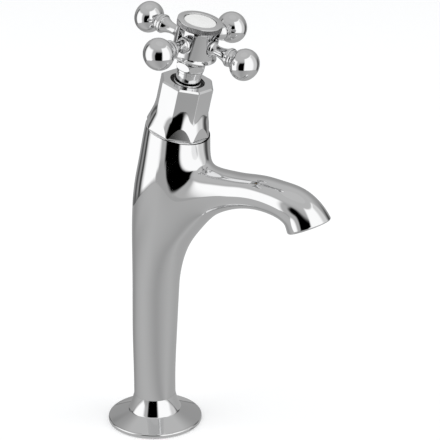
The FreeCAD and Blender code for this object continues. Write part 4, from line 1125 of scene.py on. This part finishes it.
def wall_light(azimuth, height):
    """Light of the tent's wall."""
    foot = height
    # the panels are laid out for a wall 0.40 away, and keep the height that they are seen at
    height = max(height, 0.12 + (height - 0.12) * 0.40 / TENT_RADIUS)
    light = 0.36 + 0.20 * smooth(height, 0.25, 0.60)
    for left, right, top, edge, fade, level in (
        (-104, -52, 0.44, 9.0, 0.05, 1.22), (-50, -36, 0.36, 4.0, 0.06, 0.50),
        (12, 100, 0.68, 6.0, 0.05, 1.20), (76, 104, 0.62, 9.0, 0.05, 0.75),
        (112, 132, 0.24, 6.0, 0.06, 0.08), (-142, -128, 0.22, 6.0, 0.06, 0.10),
        (-119, -109, 0.46, 3.0, 0.04, 0.06),
    ):
        light += (level - light) * patch(azimuth, height, left, right, top, edge, fade)
    # the dark gap in front of the camera leans to the right as it rises
    slant = 8.0 * smooth(height, 0.20, 0.42)
    gap = patch(azimuth, height, -36 + slant, 9 + slant * 0.4, 0.38, 3.0, 0.05)
    seam = 1 - 0.75 * (1 - smooth(foot, 0.004, 0.012))
    light *= (1 - gap) * seam
    # the table's cloth rides up the wall a little left of the gap
    ride = 0.045 * math.exp(-((azimuth + 46) / 15) ** 2)
    return light + (0.42 - light) * (1 - smooth(foot, ride - 0.005, ride + 0.003))


def table_light(azimuth):
    """Light of the table, which changes only from side to side."""
    light = 0.44
    for middle, spread, change in ((-72, 34, 0.075), (75, 40, 0.06), (-8, 26, -0.05), (-132, 20, -0.12)):
        light += change * math.exp(-((azimuth - middle) / spread) ** 2)
    return light


def glow(name):
    """A finish that gives off the shade laid on it."""
    material = bpy.data.materials.new(name)
    material.use_nodes = True
    tree = material.node_tree
    tree.nodes.remove(tree.nodes["Principled BSDF"])
    shade = add_node(tree, "Attribute", attribute_name="shade").outputs["Color"]
    fill(tree, tree.nodes["Material Output"], Surface=add_node(tree, "Emission", shade).outputs[0])
    material.cycles.emission_sampling = "NONE"
    return material


def card_from_rings(name, rings, shade, material, steps=240):
    """A card turned about the tent's middle from (reach, height) rings, shaded spot by spot."""
    points, shades = [], []
    for reach, height in rings:
        for step in range(steps):
            azimuth = step * 360 / steps - 180
            turn = math.radians(CAMERA_AZIMUTH + azimuth)
            points.append((TENT_CENTRE[0] + reach * math.sin(turn),
                           TENT_CENTRE[1] - reach * math.cos(turn), height))
            shades.append(shade(azimuth, height))
    mesh = bpy.data.meshes.new(name)
    mesh.from_pydata(points, [], grid_faces(len(rings), steps))
    layer = mesh.color_attributes.new("shade", "FLOAT_COLOR", "POINT")
    for spot, value in zip(layer.data, shades):
        spot.color = (value, value, value, 1.0)
    mesh.materials.append(material)
    card = put(name, mesh)
    for ray in ("camera", "diffuse", "shadow", "transmission", "volume_scatter"):
        setattr(card, "visible_" + ray, False)


def light_tent():
    finish = glow("tent cloth")
    wall = [(TENT_RADIUS, TENT_FLOOR + (TENT_HEIGHT - TENT_FLOOR) * k / 60) for k in range(61)]
    roof = [(TENT_RADIUS * (1 - k / 12), TENT_HEIGHT) for k in range(1, 12)] + [(0.001, TENT_HEIGHT)]
    table = [(0.003 + (TENT_RADIUS - 0.003) * k / 30, TENT_FLOOR) for k in range(31)]
    card_from_rings("tent_wall", wall, wall_light, finish)
    card_from_rings("tent_roof", [wall[-1]] + roof, lambda azimuth, height: 0.60, finish)
    card_from_rings("tent_table", table, lambda azimuth, height: table_light(azimuth), finish)


def pale_floor():
    """Pale paper that keeps the shadow, lifted toward white where it is seen, and clear from below."""
    material, tree = new_finish("pale floor", (0.93, 0.93, 0.93), 0.0, 0.9, Specular_IOR_Level=0.1)
    lift = fill(tree, add_node(tree, "Emission"), Strength=times(tree, seen_rays(tree), 0.14))[0]
    paper = add_node(tree, "AddShader", tree.nodes["Principled BSDF"].outputs[0], lift).outputs[0]
    clear = add_node(tree, "BsdfTransparent").outputs[0]
    below = add_node(tree, "NewGeometry").outputs["Backfacing"]
    either = add_node(tree, "MixShader", below, paper, clear).outputs[0]
    fill(tree, tree.nodes["Material Output"], Surface=either)
    size = 3.0
    mesh = bpy.data.meshes.new("floor")
    mesh.from_pydata([(-size, -size, 0), (size, -size, 0), (size, size, 0), (-size, size, 0)],
                     [], [(0, 1, 2, 3)])
    mesh.materials.append(material)
    floor = put("floor", mesh)


def soft_surround():
    """White to the camera and to mirrors, a softer fill for everything else."""
    world = bpy.data.worlds.new("surround")
    bpy.context.scene.world = world
    world.use_nodes = True
    tree = world.node_tree
    soft = fill(tree, tree.nodes["Background"], Color=(0.98, 0.99, 1.0), Strength=0.75)[0]
    white = add_node(tree, "Background", (1.0, 1.0, 1.0), 1.0).outputs[0]
    either = add_node(tree, "MixShader", seen_rays(tree), soft, white).outputs[0]
    fill(tree, tree.nodes["World Output"], Surface=either)


def direction(azimuth, elevation):
    """The way from the object toward a spot of the studio."""
    turn, rise = math.radians(azimuth), math.radians(elevation)
    return Vector((math.sin(turn) * math.cos(rise), -math.cos(turn) * math.cos(rise), math.sin(rise)))


def soft_lamp(name, azimuth, elevation):
    lamp = bpy.data.lights.new(name, "AREA")
    lamp.shape = "SQUARE"
    lamp.size = 1.2
    lamp.energy = 6.0
    away = direction(azimuth, elevation)
    holder = put(name, lamp)
    holder.location = Vector((0.03, 0.0, 0.1)) + away * LAMP_DISTANCE
    holder.rotation_euler = away.to_track_quat("Z", "Y").to_euler()
    holder.visible_glossy = False


def camera():
    turn = math.radians(CAMERA_AZIMUTH)
    right = Vector((math.cos(turn), math.sin(turn), 0.0))
    back = direction(CAMERA_AZIMUTH, CAMERA_ELEVATION)
    lens = bpy.data.cameras.new("camera")
    lens.sensor_width = 36.0
    lens.lens = 150.88
    lens.clip_start = 0.01
    lens.clip_end = 20.0
    holder = put("camera", lens)
    holder.location = right * CAMERA_RIGHT + Vector((0.0, 0.0, CAMERA_HEIGHT)) + back * CAMERA_DISTANCE
    holder.rotation_euler = back.to_track_quat("Z", "Y").to_euler()
    bpy.context.scene.camera = holder


light_tent()
pale_floor()
soft_surround()
soft_lamp("soft_lamp_left", -40.0, 50.0)
soft_lamp("soft_lamp_right", 110.0, 45.0)
camera()
bpy.context.scene.view_settings.view_transform = "Standard"
